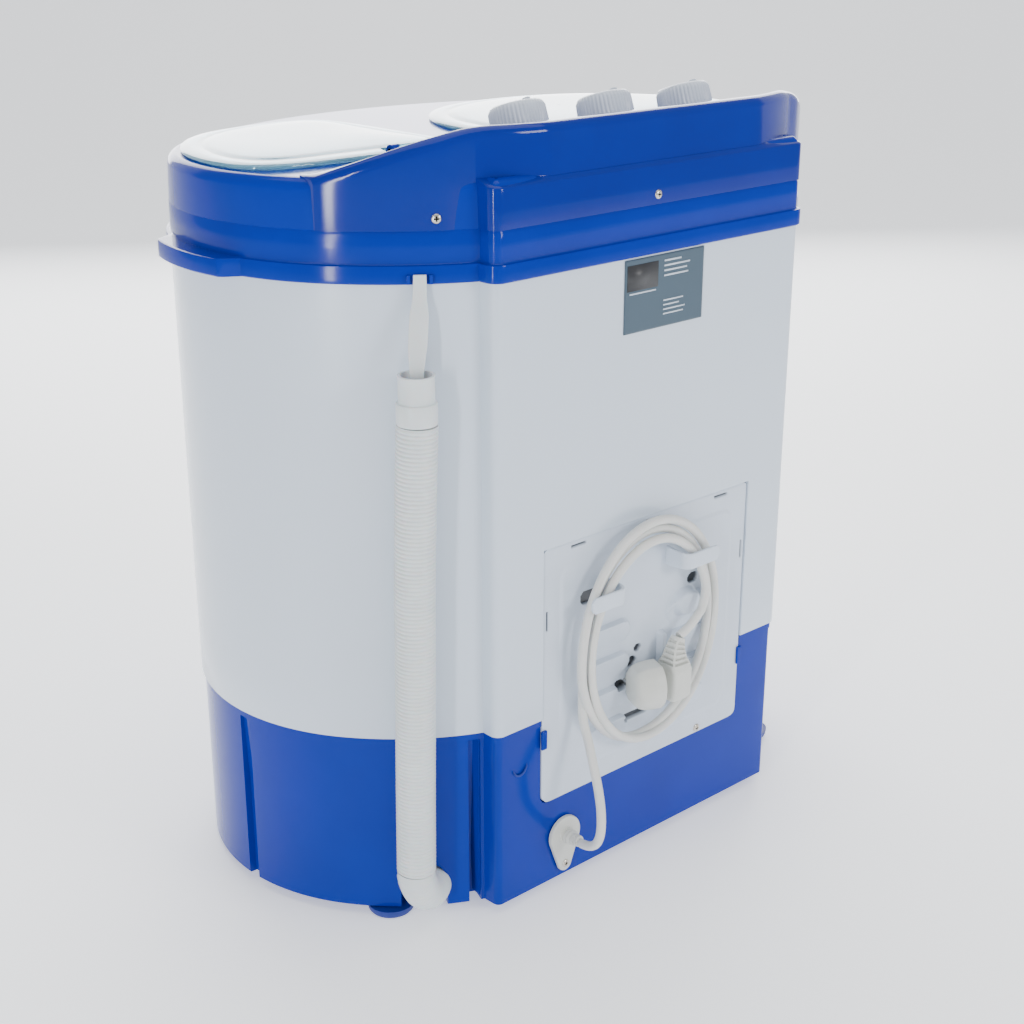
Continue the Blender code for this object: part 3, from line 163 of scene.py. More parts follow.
def tubeGrid(path, radius, around=24, guide=(0.0, 1.0, 0.0)):
    # a circle of the given radius carried along the path
    side, up = pathFrames(path, guide)
    a = np.linspace(0, 2 * np.pi, around, endpoint=False)
    r = np.broadcast_to(np.asarray(radius, float), (len(path),))[:, None, None]
    return path[:, None, :] + r * (np.cos(a)[None, :, None] * side[:, None, :]
                                   + np.sin(a)[None, :, None] * up[:, None, :])


def turnedGrid(profile, centre, around=64):
    # a profile of (radius, z) points turned about a vertical axis
    p = np.asarray(profile, float)
    a = np.linspace(0, 2 * np.pi, around, endpoint=False)
    x = centre[0] + p[:, 0:1] * np.cos(a)
    y = centre[1] + p[:, 0:1] * np.sin(a)
    return np.stack([x, y, np.broadcast_to(p[:, 1:2], x.shape)], axis=-1)


# plan shape of the casing, made of arcs that touch
plan = {"half": 0.2609, "depth": 0.352, "rearR": 0.2037, "rearX": 0.0686, "rearDepth": 0.2009, "blend": 38.0,
        "column": 0.1515, "corner": 0.0075, "consoleEnd": 0.2329}
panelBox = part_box("back_panel")
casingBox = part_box("body_shell")
backY = casingBox[1][1]
panelHalf = (panelBox[1][0] - panelBox[0][0]) / 2
panelLow, panelHigh = panelBox[0][2], panelBox[1][2]
openHalf = panelHalf + 0.0006
baseLow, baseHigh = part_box("base")[0][2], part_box("base")[1][2]
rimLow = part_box("top_frame")[0][2]
rimHigh = rimLow + 0.012
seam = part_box("console_cover")[0][2] - 0.0003
deck = seam + 0.032
ledge = seam + 0.027


def yAt(depth):
    # a depth is measured forwards from the casing's back face
    return backY - depth


channelEdges = [2.1, 2.3, 6.1, 6.3]  # degrees on the side arc, where the base's channel starts and ends


def arcSizes():
    # side arc: tangent to the rear arc at the blend angle and as wide as the casing; front arc: tangent to both
    c, s = math.cos(math.radians(plan["blend"])), math.sin(math.radians(plan["blend"]))
    sideR = (plan["half"] - plan["rearX"] - plan["rearR"] * c) / (1 - c)
    cx = plan["rearX"] + (plan["rearR"] - sideR) * c
    cd = plan["rearDepth"] - (plan["rearR"] - sideR) * s
    reach = plan["depth"] - cd
    frontR = (cx * cx + reach * reach - sideR * sideR) / (2 * (reach - sideR))
    return sideR, cx, cd, frontR, math.atan2(-(cd - plan["depth"] + frontR), cx)


def planRing(inset=0.0):
    # points and outward directions round the casing, anticlockwise from the front middle, moved in by the inset
    sideR, cx, cd, frontR, join = arcSizes()
    rear, column = plan["rearR"] - inset, plan["column"] - inset
    end = math.acos((column - plan["rearX"]) / rear)
    parts = []
    seat = math.acos((plan["consoleEnd"] - cx) / sideR)
    sides = np.sort(np.concatenate([np.linspace(join, math.radians(plan["blend"]), 84)[:-1],
                                    [seat - 0.0010, seat + 0.0010], np.radians(channelEdges)]))
    # the rear arc has closer points across the elbow's notch and at the edges of the channel
    rears = np.concatenate([np.linspace(math.radians(plan["blend"]), math.radians(48.4), 22),
                            np.radians(np.arange(48.5, 59.6, 0.15)),
                            np.radians([60.5, 61.5, 62.4, 63.0, 63.25, 64.2, 65.3, 65.55]), [end]])
    for centre, r, angles in (
            ((0.0, yAt(plan["depth"] - frontR)), frontR - inset, np.linspace(-np.pi / 2, join, 44)[:-1]),
            ((cx, yAt(cd)), sideR - inset, sides),
            ((plan["rearX"], yAt(plan["rearDepth"])), rear, rears),
            ((plan["column"] - plan["corner"], yAt(plan["corner"])), plan["corner"] - inset,
             np.linspace(0, np.pi / 2, 10))):
        out = np.stack([np.cos(angles), np.sin(angles)], axis=1)
        parts.append((np.asarray(centre) + r * out, out))
    inOpening = np.array([-0.0002, 0.0, 0.0002, 0.0006, 0.0012, 0.0020, 0.0030, 0.0042, 0.0055, 0.0080])
    xs = np.concatenate([[0.13, 0.118], openHalf - inOpening, [0.09, 0.07, 0.05, 0.03, 0.015, 0.0]])
    flat = np.stack([xs, np.full(len(xs), yAt(inset))], axis=1)
    parts.append((flat, np.tile((0.0, 1.0), (len(xs), 1))))
    half = np.vstack([p for p, _ in parts])
    out = np.vstack([o for _, o in parts])
    mirror = np.array((-1.0, 1.0))
    return np.vstack([half, (half[1:-1] * mirror)[::-1]]), np.vstack([out, (out[1:-1] * mirror)[::-1]])


def carried(profile, push=None, bulge=None):
    # carries a list of (inset, z) round the plan; push moves points in by a function of x, y and z
    rings = []
    for inset, z in profile:
        points, out = planRing(inset)
        if bulge is not None:
            points = bulge(points, z)
        if push is not None:
            points = points - out * push(points[:, 0], points[:, 1], z)[:, None]
        rings.append(np.column_stack([points, np.full(len(points), z)]))
    return np.stack(rings)


# materials
def node(tree, kind, **values):
    # a shader node with some of its settings
    n = tree.nodes.new(kind)
    for key, value in values.items():
        setattr(n, key, value)
    return n


def moulded(name, colour, rough=0.3, shade=0.06, scale=30.0, bump=0.02, grain=700.0, coat=0.0, blotch=0.06,
            metal=0.0, through=0.0, alpha=1.0, soft=0.0, sheen=0.0, shine=0.5):
    # a finish with slow colour drift, roughness that varies, and a fine grain in its bump
    mat = bpy.data.materials.new(name)
    mat.use_nodes = True
    tree = mat.node_tree
    shader = tree.nodes["Principled BSDF"]
    coords = node(tree, "ShaderNodeTexCoord")
    drift = node(tree, "ShaderNodeTexNoise")
    drift.inputs["Scale"].default_value = scale
    drift.inputs["Detail"].default_value = 4.0
    tree.links.new(coords.outputs["Object"], drift.inputs["Vector"])
    tones = node(tree, "ShaderNodeValToRGB")
    dark = [c * (1 - shade) for c in colour]
    light = [min(1.0, c * (1 + shade)) for c in colour]
    tones.color_ramp.elements[0].position, tones.color_ramp.elements[0].color = 0.3, (*dark, 1.0)
    tones.color_ramp.elements[1].position, tones.color_ramp.elements[1].color = 0.7, (*light, 1.0)
    tree.links.new(drift.outputs["Fac"], tones.inputs["Fac"])
    tree.links.new(tones.outputs["Color"], shader.inputs["Base Color"])
    wear = node(tree, "ShaderNodeMapRange")
    wear.inputs["From Min"].default_value, wear.inputs["From Max"].default_value = 0.25, 0.75
    wear.inputs["To Min"].default_value = max(0.02, rough - blotch)
    wear.inputs["To Max"].default_value = min(1.0, rough + blotch)
    tree.links.new(drift.outputs["Fac"], wear.inputs["Value"])
    tree.links.new(wear.outputs["Result"], shader.inputs["Roughness"])
    fine = node(tree, "ShaderNodeTexNoise")
    fine.inputs["Scale"].default_value = grain
    fine.inputs["Detail"].default_value = 3.0
    tree.links.new(coords.outputs["Object"], fine.inputs["Vector"])
    rise = node(tree, "ShaderNodeBump")
    rise.inputs["Strength"].default_value = bump
    rise.inputs["Distance"].default_value = 0.0004
    tree.links.new(fine.outputs["Fac"], rise.inputs["Height"])
    tree.links.new(rise.outputs["Normal"], shader.inputs["Normal"])
    shader.inputs["Metallic"].default_value = metal
    shader.inputs["Coat Weight"].default_value = coat
    shader.inputs["Coat Roughness"].default_value = 0.04
    shader.inputs["Transmission Weight"].default_value = through
    shader.inputs["Alpha"].default_value = alpha
    shader.inputs["Subsurface Weight"].default_value = soft
    shader.inputs["Subsurface Scale"].default_value = 0.004
    shader.inputs["Sheen Weight"].default_value = sheen
    shader.inputs["Specular IOR Level"].default_value = shine
    return mat


def withPaintedShade(mat, attribute, colour=(0.05, 0.055, 0.065), amount=1.0):
    # mixes a dark colour in where a point attribute of the mesh is high: painted shade inside hollows
    tree = mat.node_tree
    shader = tree.nodes["Principled BSDF"]
    source = shader.inputs["Base Color"].links[0].from_socket
    mask = node(tree, "ShaderNodeAttribute", attribute_name=attribute)
    mix = node(tree, "ShaderNodeMix", data_type="RGBA")
    mix.inputs["B"].default_value = (*colour, 1.0)
    strength = node(tree, "ShaderNodeMath", operation="MULTIPLY")
    strength.inputs[1].default_value = amount
    tree.links.new(mask.outputs["Fac"], strength.inputs[0])
    tree.links.new(strength.outputs[0], mix.inputs["Factor"])
    tree.links.new(source, mix.inputs["A"])
    tree.links.new(mix.outputs["Result"], shader.inputs["Base Color"])
    return mat


whiteEnamel = moulded("whiteEnamel", (0.60, 0.68, 0.78), 0.20, 0.012, 6.0, 0.02, 260.0, coat=0.3, blotch=0.03)
royalBlue = moulded("royalBlue", (0.0022, 0.021, 0.30), 0.13, 0.05, 18.0, 0.015, 900.0, blotch=0.02, shine=0.17)
consoleBlue = moulded("consoleBlue", (0.0015, 0.015, 0.235), 0.10, 0.05, 18.0, 0.012, 900.0, blotch=0.02, shine=0.26)
lidBlue = moulded("lidBlue", (0.36, 0.78, 1.0), 0.08, 0.03, 12.0, 0.02, 300.0, coat=0.3, through=0.75, alpha=1.0)
knobWhite = moulded("knobWhite", (0.62, 0.68, 0.76), 0.32, 0.03, 60.0, 0.06, 1200.0)
tubWhite = moulded("tubWhite", (0.83, 0.85, 0.87), 0.34, 0.03, 25.0, 0.05, 900.0)
panelWhite = moulded("panelWhite", (0.61, 0.68, 0.775), 0.38, 0.03, 30.0, 0.10, 1400.0)
leadCream = moulded("leadCream", (0.66, 0.665, 0.64), 0.42, 0.03, 60.0, 0.06, 1500.0, soft=0.05)
plugCream = moulded("plugCream", (0.60, 0.61, 0.57), 0.46, 0.04, 60.0, 0.12, 1600.0)
hoseMilk = moulded("hoseMilk", (0.66, 0.71, 0.72), 0.38, 0.03, 40.0, 0.04, 900.0, soft=0.25)
darkPlastic = moulded("darkPlastic", (0.030, 0.031, 0.034), 0.45, 0.2, 60.0, 0.15, 900.0)
blackRubber = moulded("blackRubber", (0.035, 0.034, 0.033), 0.75, 0.2, 80.0, 0.3, 700.0, sheen=0.2)
zincSteel = moulded("zincSteel", (0.60, 0.59, 0.56), 0.30, 0.10, 240.0, 0.12, 1800.0, metal=1.0, blotch=0.10)
motorGrey = moulded("motorGrey", (0.16, 0.17, 0.18), 0.50, 0.15, 60.0, 0.25, 600.0, metal=0.4)
castAluminium = moulded("castAluminium", (0.68, 0.68, 0.67), 0.42, 0.10, 120.0, 0.25, 700.0, metal=1.0)
footBlue = moulded("footBlue", (0.003, 0.022, 0.24), 0.55, 0.08, 60.0, 0.20, 600.0)
netCloth = moulded("netCloth", (0.62, 0.66, 0.76), 0.85, 0.10, 500.0, 0.60, 1100.0, sheen=0.4)

nodeFinish = {"blue_plastic": royalBlue, "white_casing": whiteEnamel, "blue_console": consoleBlue,
              "lid_plastic": lidBlue, "knob_plastic": knobWhite, "tub_plastic": tubWhite, "panel_plastic": panelWhite,
              "lead_plastic": plugCream, "hose_plastic": hoseMilk, "black_plastic": darkPlastic,
              "rubber": blackRubber, "steel": zincSteel, "motor_steel": motorGrey, "aluminium": castAluminium,
              "blue_foot": footBlue, "net_fabric": netCloth}
slotOf = {row["node"]: row["material_slot"] for row in frame["record"]["subparts"]}
for name, obj in frame["nodes"].items():
    for k in range(len(obj.data.materials)):
        obj.data.materials[k] = nodeFinish.get(slotOf[name], darkPlastic)
print("materials made")

# mains lead: gland, up the panel, round the hooks and into the plug
lead = {"r": 0.0034, "centre": (0.010, 0.190), "half": (0.0770, 0.0925), "start": -8.0, "turns": 2.47,
        "lift": 0.0041,
        "inset": [(0, 0.0118), (0.25, 0.0112), (0.75, 0.0108), (1.0, 0.0040), (1.5, 0.0036), (1.9, 0.0105),
                  (2.2, 0.0172), (2.47, 0.0178)],
        "height": [(0, 0.0040), (0.3, 0.0042), (0.8, 0.0046), (1.05, 0.0104), (1.5, 0.0050), (1.9, 0.0104),
                   (2.2, 0.0098), (2.47, 0.0104)]}
leadUp = [(0.0845, -0.0140, 0.0440), (0.0847, -0.0200, 0.0443), (0.0852, -0.0290, 0.0472),
          (0.0860, -0.0365, 0.0545), (0.0864, -0.0400, 0.0665), (0.0860, -0.0392, 0.0815),
          (0.0846, -0.0345, 0.0970), (0.0824, -0.0270, 0.1125), (0.0799, -0.0190, 0.1272),
          (0.0777, -0.0110, 0.1410), (0.0762, -0.0082, 0.1550)]
leadDown = [(-0.0420, -0.0155, 0.1972), (-0.0365, -0.0162, 0.1928), (-0.0295, -0.0168, 0.1878),
            (-0.0225, -0.0168, 0.1842), (-0.0160, -0.0165, 0.1814)]


def coilRoute():
    # an ellipse wound two and a half times; each turn keeps its own distance from the edge and its own height
    first = math.radians(lead["start"])
    angle = np.linspace(first, first + 2 * np.pi * lead["turns"], 46)
    turn = (angle - first) / (2 * np.pi)
    inset = np.interp(turn, *zip(*lead["inset"]))
    height = np.interp(turn, *zip(*lead["height"]))
    x = lead["centre"][0] + (lead["half"][0] - inset) * np.cos(angle)
    z = lead["centre"][1] + (lead["half"][1] - inset) * np.sin(angle)
    return np.stack([x, -(lead["lift"] + height), z], axis=1)


leadRoute = np.vstack([np.array(leadUp), coilRoute(), np.array(leadDown)])
leadRoute[:, 1] = yAt(leadRoute[:, 1])
leadPath, leadLength = pathThrough(leadRoute, 620)
print("lead length", round(leadLength, 4))
leadPiece = gridPiece("mainsLead", tubeGrid(leadPath, lead["r"], 20, (0.02, 1.0, 0.01)), "casing",
                      leadCream)
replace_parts(leadPiece, "mains_lead", "lead_coil", "lead_tail")
print("mains lead coiled")

# drain hose up the side, with its cuff and strap
hose = {"r": 0.0140, "pitch": 0.0029, "ripple": 0.0008}
hoseRoute = [(0.2062, 0.0249, 0.0540), (0.2056, 0.0243, 0.120), (0.2044, 0.0234, 0.200),
             (0.2036, 0.0228, 0.270), (0.2021, 0.0217, 0.335), (0.2005, 0.0205, 0.3850)]
hosePoints = np.array(hoseRoute)
hosePoints[:, 1] = yAt(hosePoints[:, 1])
hosePath, hoseLength = pathThrough(hosePoints, 900)
along = np.linspace(0, hoseLength, len(hosePath))
ripple = 0.5 - 0.5 * np.cos(2 * np.pi * along / hose["pitch"])
hoseRadius = hose["r"] - hose["ripple"] * (1 - ripple ** 0.6)
hosePiece = gridPiece("drainHose", tubeGrid(hosePath, hoseRadius, 48, (1.0, 0.0, 0.0)), "casing",
                      hoseMilk, angle=80)
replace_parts(hosePiece, "drain_hose")
print("drain hose hung")

# white casing: one wall, pushed in where the back panel sits
def panelRecess(x, y, z, low, high, deep=0.0052):
    # one depth everywhere inside the panel's outline, whose lower corners are quarter circles
    turn = np.clip(1 - (z - low) / 0.008, 0.0, 1.0)
    half = openHalf - 0.008 * (1 - np.sqrt(1 - turn ** 2))
    inside = (np.abs(x) <= half + 1e-6) & (y > backY - 0.02) & (z <= high) & (z >= low)
    return np.where(inside, deep, 0.0)


casing = {"wall": 0.002, "low": baseHigh + 0.0003, "high": rimLow + 0.0035}
openTop = panelHigh + 0.0006
zs = np.array([casing["low"], casing["low"] + 0.0006, 0.18, 0.22, 0.26, openTop, openTop + 0.0002, 0.32, 0.36, 0.40,
               0.44, casing["high"]])
profile = [(0.0004, zs[0])] + [(0.0, z) for z in zs[1:]] + [(casing["wall"], z) for z in zs[::-1]]
casingPiece = gridPiece("whiteCasing", carried(profile, lambda x, y, z: panelRecess(x, y, z, 0.0, openTop)),
                        "casing", whiteEnamel, closeU=True)
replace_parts(casingPiece, "body_shell")
print("casing carried round")

# blue base: band under the casing, two long channels each side, the elbow's notch and the gland
base = {"inset": 0.0015, "wall": 0.003, "band": 0.0052, "field": 0.0008, "sideDeep": 0.0050, "rearDeep": 0.0120,
        "notchDeep": 0.0150, "notchR": 0.0172, "notchZ": 0.0270, "notchAngle": 53.5}


def baseRecess(x, y, z):
    # how far the base's wall is pushed in: the panel's seat, the lower field, channels and the elbow's notch
    push = panelRecess(x, y, z, panelLow - 0.0006, baseHigh + 0.01, 0.0045)
    if z >= baseHigh - base["band"]:
        return push
    sideR, cx, cd, frontR, join = arcSizes()
    sideAngle = np.degrees(np.arctan2(y - yAt(cd), np.abs(x) - cx))
    rearAngle = np.degrees(np.arctan2(y - yAt(plan["rearDepth"]), np.abs(x) - plan["rearX"]))
    onSide = (np.abs(x) > 0.2) & (sideAngle < 20)
    onRear = (np.abs(x) < plan["column"] + 0.05) & (np.abs(x) > plan["column"] + 0.0004)
    onRear = onRear & (rearAngle > 45) & (y > yAt(0.08))
    push = push + base["field"]
    push = push + np.where(onSide, base["sideDeep"] * smooth((2.1 - np.abs(sideAngle - 4.2)) / 0.2), 0.0)
    rearEdges = smooth((rearAngle - 63.05) / 0.18) * smooth((65.5 - rearAngle) / 0.2)
    push = push + np.where(onRear, base["rearDeep"] * rearEdges, 0.0)
    aside = (rearAngle - base["notchAngle"]) * 0.003555  # metres of arc per degree
    notch = np.hypot(aside, np.maximum(z - base["notchZ"], 0.0)) - base["notchR"]
    onNotch = (x > 0.1) & (rearAngle > 45) & (rearAngle < 62.5)
    push = push + np.where(onNotch, base["notchDeep"] * smooth(-notch / 0.0012), 0.0)
    return push


bandLow = baseHigh - base["band"]
panelCorner = panelLow + 0.008 * (1 - np.cos(np.linspace(0.0, np.pi / 2, 12)))
zs = [baseLow + 0.0002, baseLow + 0.0010, *np.linspace(0.0085, 0.0465, 48), *np.linspace(0.055, panelLow - 0.0012, 5),
      panelLow - 0.0008, panelLow - 0.0004, *panelCorner, *np.linspace(0.088, bandLow - 0.0006, 7), bandLow - 0.0001,
      bandLow + 0.0002, baseHigh - 0.0006, baseHigh]
profile = [(base["inset"] + 0.0008, zs[0])] + [(base["inset"], z) for z in zs[1:-1]]
profile += [(base["inset"] + 0.0006, zs[-1])]
profile += [(base["inset"] + base["wall"], z) for z in (baseHigh, baseLow + base["wall"])]
grid = carried(profile, baseRecess)
basePiece = gridPiece("blueBase", grid, "casing", royalBlue)
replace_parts(basePiece, "base")
print("base carried round")

# top frame: rim with grips, a wall and a rounded edge
grip = {"reach": 0.0105, "depth": 0.1765, "half": 0.0415, "ramp": 0.0075}
rim = {"out": 0.0025, "edge": 0.0010, "wall": 0.0005, "round": 0.0075}


def gripBulge(points, z):
    # straight outward shift of the rim beside each grip, with a short ramp at each end
    beyond = np.abs(backY - points[:, 1] - grip["depth"]) - grip["half"]
    reach = grip["reach"] * np.clip(1 - beyond / grip["ramp"], 0.0, 1.0)
    side = np.where(np.abs(points[:, 0]) > plan["column"], np.sign(points[:, 0]), 0.0)
    return points + np.column_stack([side * reach, np.zeros(len(points))])


r = rim["round"]
arc = np.linspace(0, np.pi / 2, 9)
lower = [(-rim["out"] + 0.0030, rimLow), (-rim["out"] + 0.0008, rimLow), (-rim["out"], rimLow + 0.0008),
         (-rim["out"], rimHigh - rim["edge"]), (-rim["out"] + rim["edge"] * 0.3, rimHigh - rim["edge"] * 0.3),
         (-rim["out"] + rim["edge"], rimHigh), (rim["wall"] - 0.0006, rimHigh)]
upper = [(rim["wall"], rimHigh + 0.0006), (rim["wall"], rimHigh + 0.010), (rim["wall"] + 0.0002, seam - 0.0012),
         (rim["wall"] + 0.0008, seam - 0.0003), (rim["wall"] + 0.0008, seam), (rim["wall"] + 0.0004, seam + 0.0004),
         (0.0012, seam + 0.012), (0.0017, deck - r)]
upper += [(0.0017 + r * (1 - math.cos(a)), deck - r + r * math.sin(a)) for a in arc[1:]]
upper += [(0.0017 + r + 0.0010, deck - 0.0004)]
inner = [(0.0017 + r + 0.0010, deck - 0.003), (0.0060, deck - 0.010), (0.0040, rimHigh), (0.0036, rimLow + 0.0039),
         (-rim["out"] + 0.0030, rimLow + 0.0039)]
skirt = np.vstack([carried(lower, bulge=gripBulge), carried(upper + inner)])
skirtPiece = gridPiece("topSkirt", skirt, "casing", royalBlue, closeU=True)
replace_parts(skirtPiece, "top_frame")

# deck: one sheet round each lid's mouth, out to the skirt and to the line between the lids
lidShapes = {"wash": {"centre": (-0.092, 0.216), "rear": 0.1185, "front": 0.322, "inner": 0.056, "side": -1,
                      "hinge": (-0.018, 0.046)},
             "spin": {"centre": (0.158, 0.210), "rear": 0.1185, "front": 0.310, "inner": 0.0685, "side": 1,
                      "hinge": (0.112, 0.026)}}
deckForm = {"rear": 0.0925, "divide": 0.0622, "mouth": 0.0120, "drop": 0.0110, "thick": 0.0025, "soft": 0.0012}
hingeForm = {"depth": 0.1140, "r": 0.0043, "lift": 0.0052, "knuckle": 0.018, "gap": 0.0006, "ear": 0.0064,
             "armReach": 4.4, "armLow": 0.0014, "armHigh": 0.0050}


def towards(shape, angles):
    # directions from a lid's centre, as x and depth
    return np.cos(angles), -np.sin(angles)


def wallDistance(shape, angles, walls, edge, power):
    # distance from the lid's centre to its straight walls and the side arc, blended by a smooth minimum
    dx, dd = towards(shape, angles)
    cx0, d0 = shape["centre"]
    rear, front, innerX = walls
    far = np.full_like(dx, 1e3)
    near = [np.where(dd < -1e-9, (d0 - rear) / np.maximum(-dd, 1e-9), far),
            np.where(dd > 1e-9, (front - d0) / np.maximum(dd, 1e-9), far),
            np.where(dx * shape["side"] < -1e-9, abs(cx0 - innerX) / np.maximum(np.abs(dx), 1e-9), far)]
    sideR, cx, cd, frontR, join = arcSizes()
    ox, od = cx0 - shape["side"] * cx, d0 - cd
    b = ox * dx + od * dd
    near.append(-b + np.sqrt(np.maximum(b * b - (ox * ox + od * od - (sideR - edge) ** 2), 0.0)))
    return np.sum([v ** -power for v in near], axis=0) ** (-1 / power)


def deckReach(shape, angles, rear, inner, edge):
    # distance from a lid's centre to the nearest of the deck's rear line, middle line and rounded outline
    dx, dd = towards(shape, angles)
    cx0, d0 = shape["centre"]
    sideR, cx, cd, frontR, join = arcSizes()
    hits = []
    for centre, radius in (((shape["side"] * cx, cd), sideR - edge), ((0.0, plan["depth"] - frontR), frontR - edge)):
        ox, od = cx0 - centre[0], d0 - centre[1]
        b = ox * dx + od * dd
        hits.append(-b + np.sqrt(np.maximum(b * b - (ox * ox + od * od - radius ** 2), 0.0)))
    where = np.arctan2(cd - (d0 + hits[0] * dd), shape["side"] * (cx0 + hits[0] * dx) - cx)
    free = (dd < 0) & (shape["side"] * (cx0 + hits[0] * dx) < cx)  # the side arc ends here, only lines count
    outline = np.where(free, 1e3, np.where(where > join, hits[0], hits[1]))
    back = np.where(dd < -1e-9, (d0 - rear) / np.maximum(-dd, 1e-9), 1e3)
    middle = np.where(dx * shape["side"] < -1e-9, abs(cx0 - inner) / np.maximum(np.abs(dx), 1e-9), 1e3)
    return np.minimum(np.minimum(outline, back), middle)


def lidLine(shape, angles, inset, lift):
    # a lid's outline at a height, moved in towards the lid's centre by the inset
    reach = wallDistance(shape, angles, (shape["rear"], shape["front"], shape["inner"]), 0.011, 7.0) - inset
    dx, dd = towards(shape, angles)
    x, y = shape["centre"][0] + reach * dx, yAt(shape["centre"][1] + reach * dd)
    return np.stack([x, y, np.full_like(x, lift)], axis=-1)


for key, shape in lidShapes.items():
    around = np.linspace(0, 2 * np.pi, 720, endpoint=False)
    mouth = lidLine(shape, around, deckForm["mouth"], deck)
    reach = deckReach(shape, around, deckForm["rear"], deckForm["divide"], 0.0017 + r + 0.0004)
    dx, dd = towards(shape, around)
    x, y = shape["centre"][0] + reach * dx, yAt(shape["centre"][1] + reach * dd)
    outer = np.stack([x, y, np.full_like(dx, deck)], axis=-1)
    inwards = (mouth - outer) / np.linalg.norm(mouth - outer, axis=1)[:, None]
    under = np.array((0, 0, -deckForm["thick"]))
    rows = [mouth + (0, 0, -deckForm["drop"]), mouth + (0, 0, -deckForm["soft"]), mouth - deckForm["soft"] * inwards]
    rows += [mouth + (outer - mouth) * t for t in np.linspace(0.1, 1, 6)]
    rows += [outer + under, mouth + (outer - mouth) * 0.12 + under,
             lidLine(shape, around, 0.0095, deck - deckForm["drop"])]
    piece = gridPiece(key + "Deck", np.stack(rows), "casing", royalBlue, closeU=True)
    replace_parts(piece, "top_frame")
    for sideways in (-1, 1):
        middle, half = shape["hinge"]
        start = middle + sideways * (half + hingeForm["gap"])
        earR = hingeForm["r"]
        crown = np.linspace(0, np.pi, 17)
        ring = np.vstack([[(-earR, deck - 0.001), (earR, deck - 0.001)],
                          np.stack([earR * np.cos(crown), deck + hingeForm["lift"] + earR * np.sin(crown)], axis=1)])
        ends = [np.column_stack([np.full(len(ring), start + sideways * s), yAt(hingeForm["depth"]) + ring[:, 0],
                                 ring[:, 1]]) for s in (0.0, hingeForm["ear"])]
        label = "Left" if sideways < 0 else "Right"
        bezel(gridPiece(key + "Ear" + label, np.stack(ends), "casing", royalBlue), 0.0006)
print("top frame made")

# lids: thin crowned sheets with a turned-down rim and two knuckles, as (inset, height) from the edge inwards
lidForm = {"lift": 0.0006,
           "top": [(0.0004, 0.0000), (0.0, 0.0005), (0.0, 0.0014), (0.0005, 0.0022), (0.0014, 0.0027),
                   (0.006, 0.0034), (0.0125, 0.0040), (0.0140, 0.0036), (0.0160, 0.0036), (0.0175, 0.0044),
                   (0.024, 0.0052), (0.034, 0.0060), (0.046, 0.0066), (0.0600, 0.0069)],
           "under": [(0.0600, 0.0045), (0.034, 0.0036), (0.0164, 0.0016), (0.0157, -0.0040), (0.0137, -0.0040),
                     (0.0137, 0.0)]}
turn = np.linspace(0, 2 * np.pi, 288, endpoint=False)
for key, shape in lidShapes.items():
    z = deck + lidForm["lift"]
    rows = [lidLine(shape, turn, i, z + h) for i, h in lidForm["top"]]
    centreTop = rows[-1].mean(axis=0) + (0, 0, 0.0002)
    rows += [rows[-1] * 0.5 + centreTop * 0.5, rows[-1] * 0.02 + centreTop * 0.98]
    low = [lidLine(shape, turn, i, z + h) for i, h in lidForm["under"]]
    centreLow = low[0].mean(axis=0)
    rows += [low[0] * 0.02 + centreLow * 0.98] + low
    piece = gridPiece(key + "Lid", np.stack(rows), key + "_lid", lidBlue, closeU=True)
    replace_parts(piece, key + "_lid")
    middle, half = shape["hinge"]
    long = hingeForm["knuckle"]
    for start in (middle - half, middle + half - long):
        # round knuckle that runs out forwards into a flat arm
        a = np.linspace(0, 2 * np.pi, 40, endpoint=False)
        ringY = hingeForm["r"] * np.cos(a)
        ringZ = deck + hingeForm["lift"] + hingeForm["r"] * np.sin(a)
        arm = (np.cos(a) < 0) & (np.sin(a) < 0.35)
        ringY = yAt(hingeForm["depth"]) + np.where(arm, ringY * hingeForm["armReach"], ringY)
        ringZ = np.where(arm, np.clip(ringZ, deck + hingeForm["armLow"], deck + hingeForm["armHigh"]), ringZ)
        steps = (0.0, 0.0005, long - 0.0005, long)
        ends = [np.column_stack([np.full(len(a), start + s), ringY, ringZ]) for s in steps]
        label = "A" if start < middle else "B"
        gridPiece(key + "Knuckle" + label, np.stack(ends), key + "_lid", lidBlue)
print("lids made")

# console: a section across the machine carried along its width
console = {"half": 0.232, "rise": 0.031, "front": 0.108, "endFront": 0.0945, "level": 0.145, "ridge": 0.012,
           "shoulder": 0.097}


def consoleFront(x):
    # depth of the front edge: level in the middle, easing back towards each end
    t = smooth((np.abs(x) - console["level"]) / (console["half"] - console["level"]))
    return console["front"] + (console["endFront"] - console["front"]) * t


def rearLine(x, inset):
    # depth of the rear arc, or of the flat back where the arc lies behind it
    arcLine = plan["rearDepth"] - np.sqrt(np.maximum((plan["rearR"] - inset) ** 2
                                                     - np.maximum(np.abs(x) - plan["rearX"], 0.0) ** 2, 0.0))
    return np.where(np.abs(x) > plan["rearX"], np.maximum(arcLine, inset), inset)


def columnLine(x):
    # depth of the flat back, of its rounded corner, and of the rear arc beyond it
    start = plan["column"] - plan["corner"]
    past = np.clip(np.abs(x) - start, 0, plan["corner"])
    corner = plan["corner"] - np.sqrt(np.maximum(plan["corner"] ** 2 - past ** 2, 0.0))
    return np.where(np.abs(x) <= plan["column"], np.where(np.abs(x) <= start, 0.0, corner), rearLine(x, 0.0))


def ridgeLine(x):
    # height of the ridge: a quarter sine up each shoulder, level between them
    t = np.clip((console["half"] + 0.0005 - np.abs(x)) / console["shoulder"], 0.0, 1.0)
    return deck + console["rise"] * np.sin(np.pi / 2 * t)


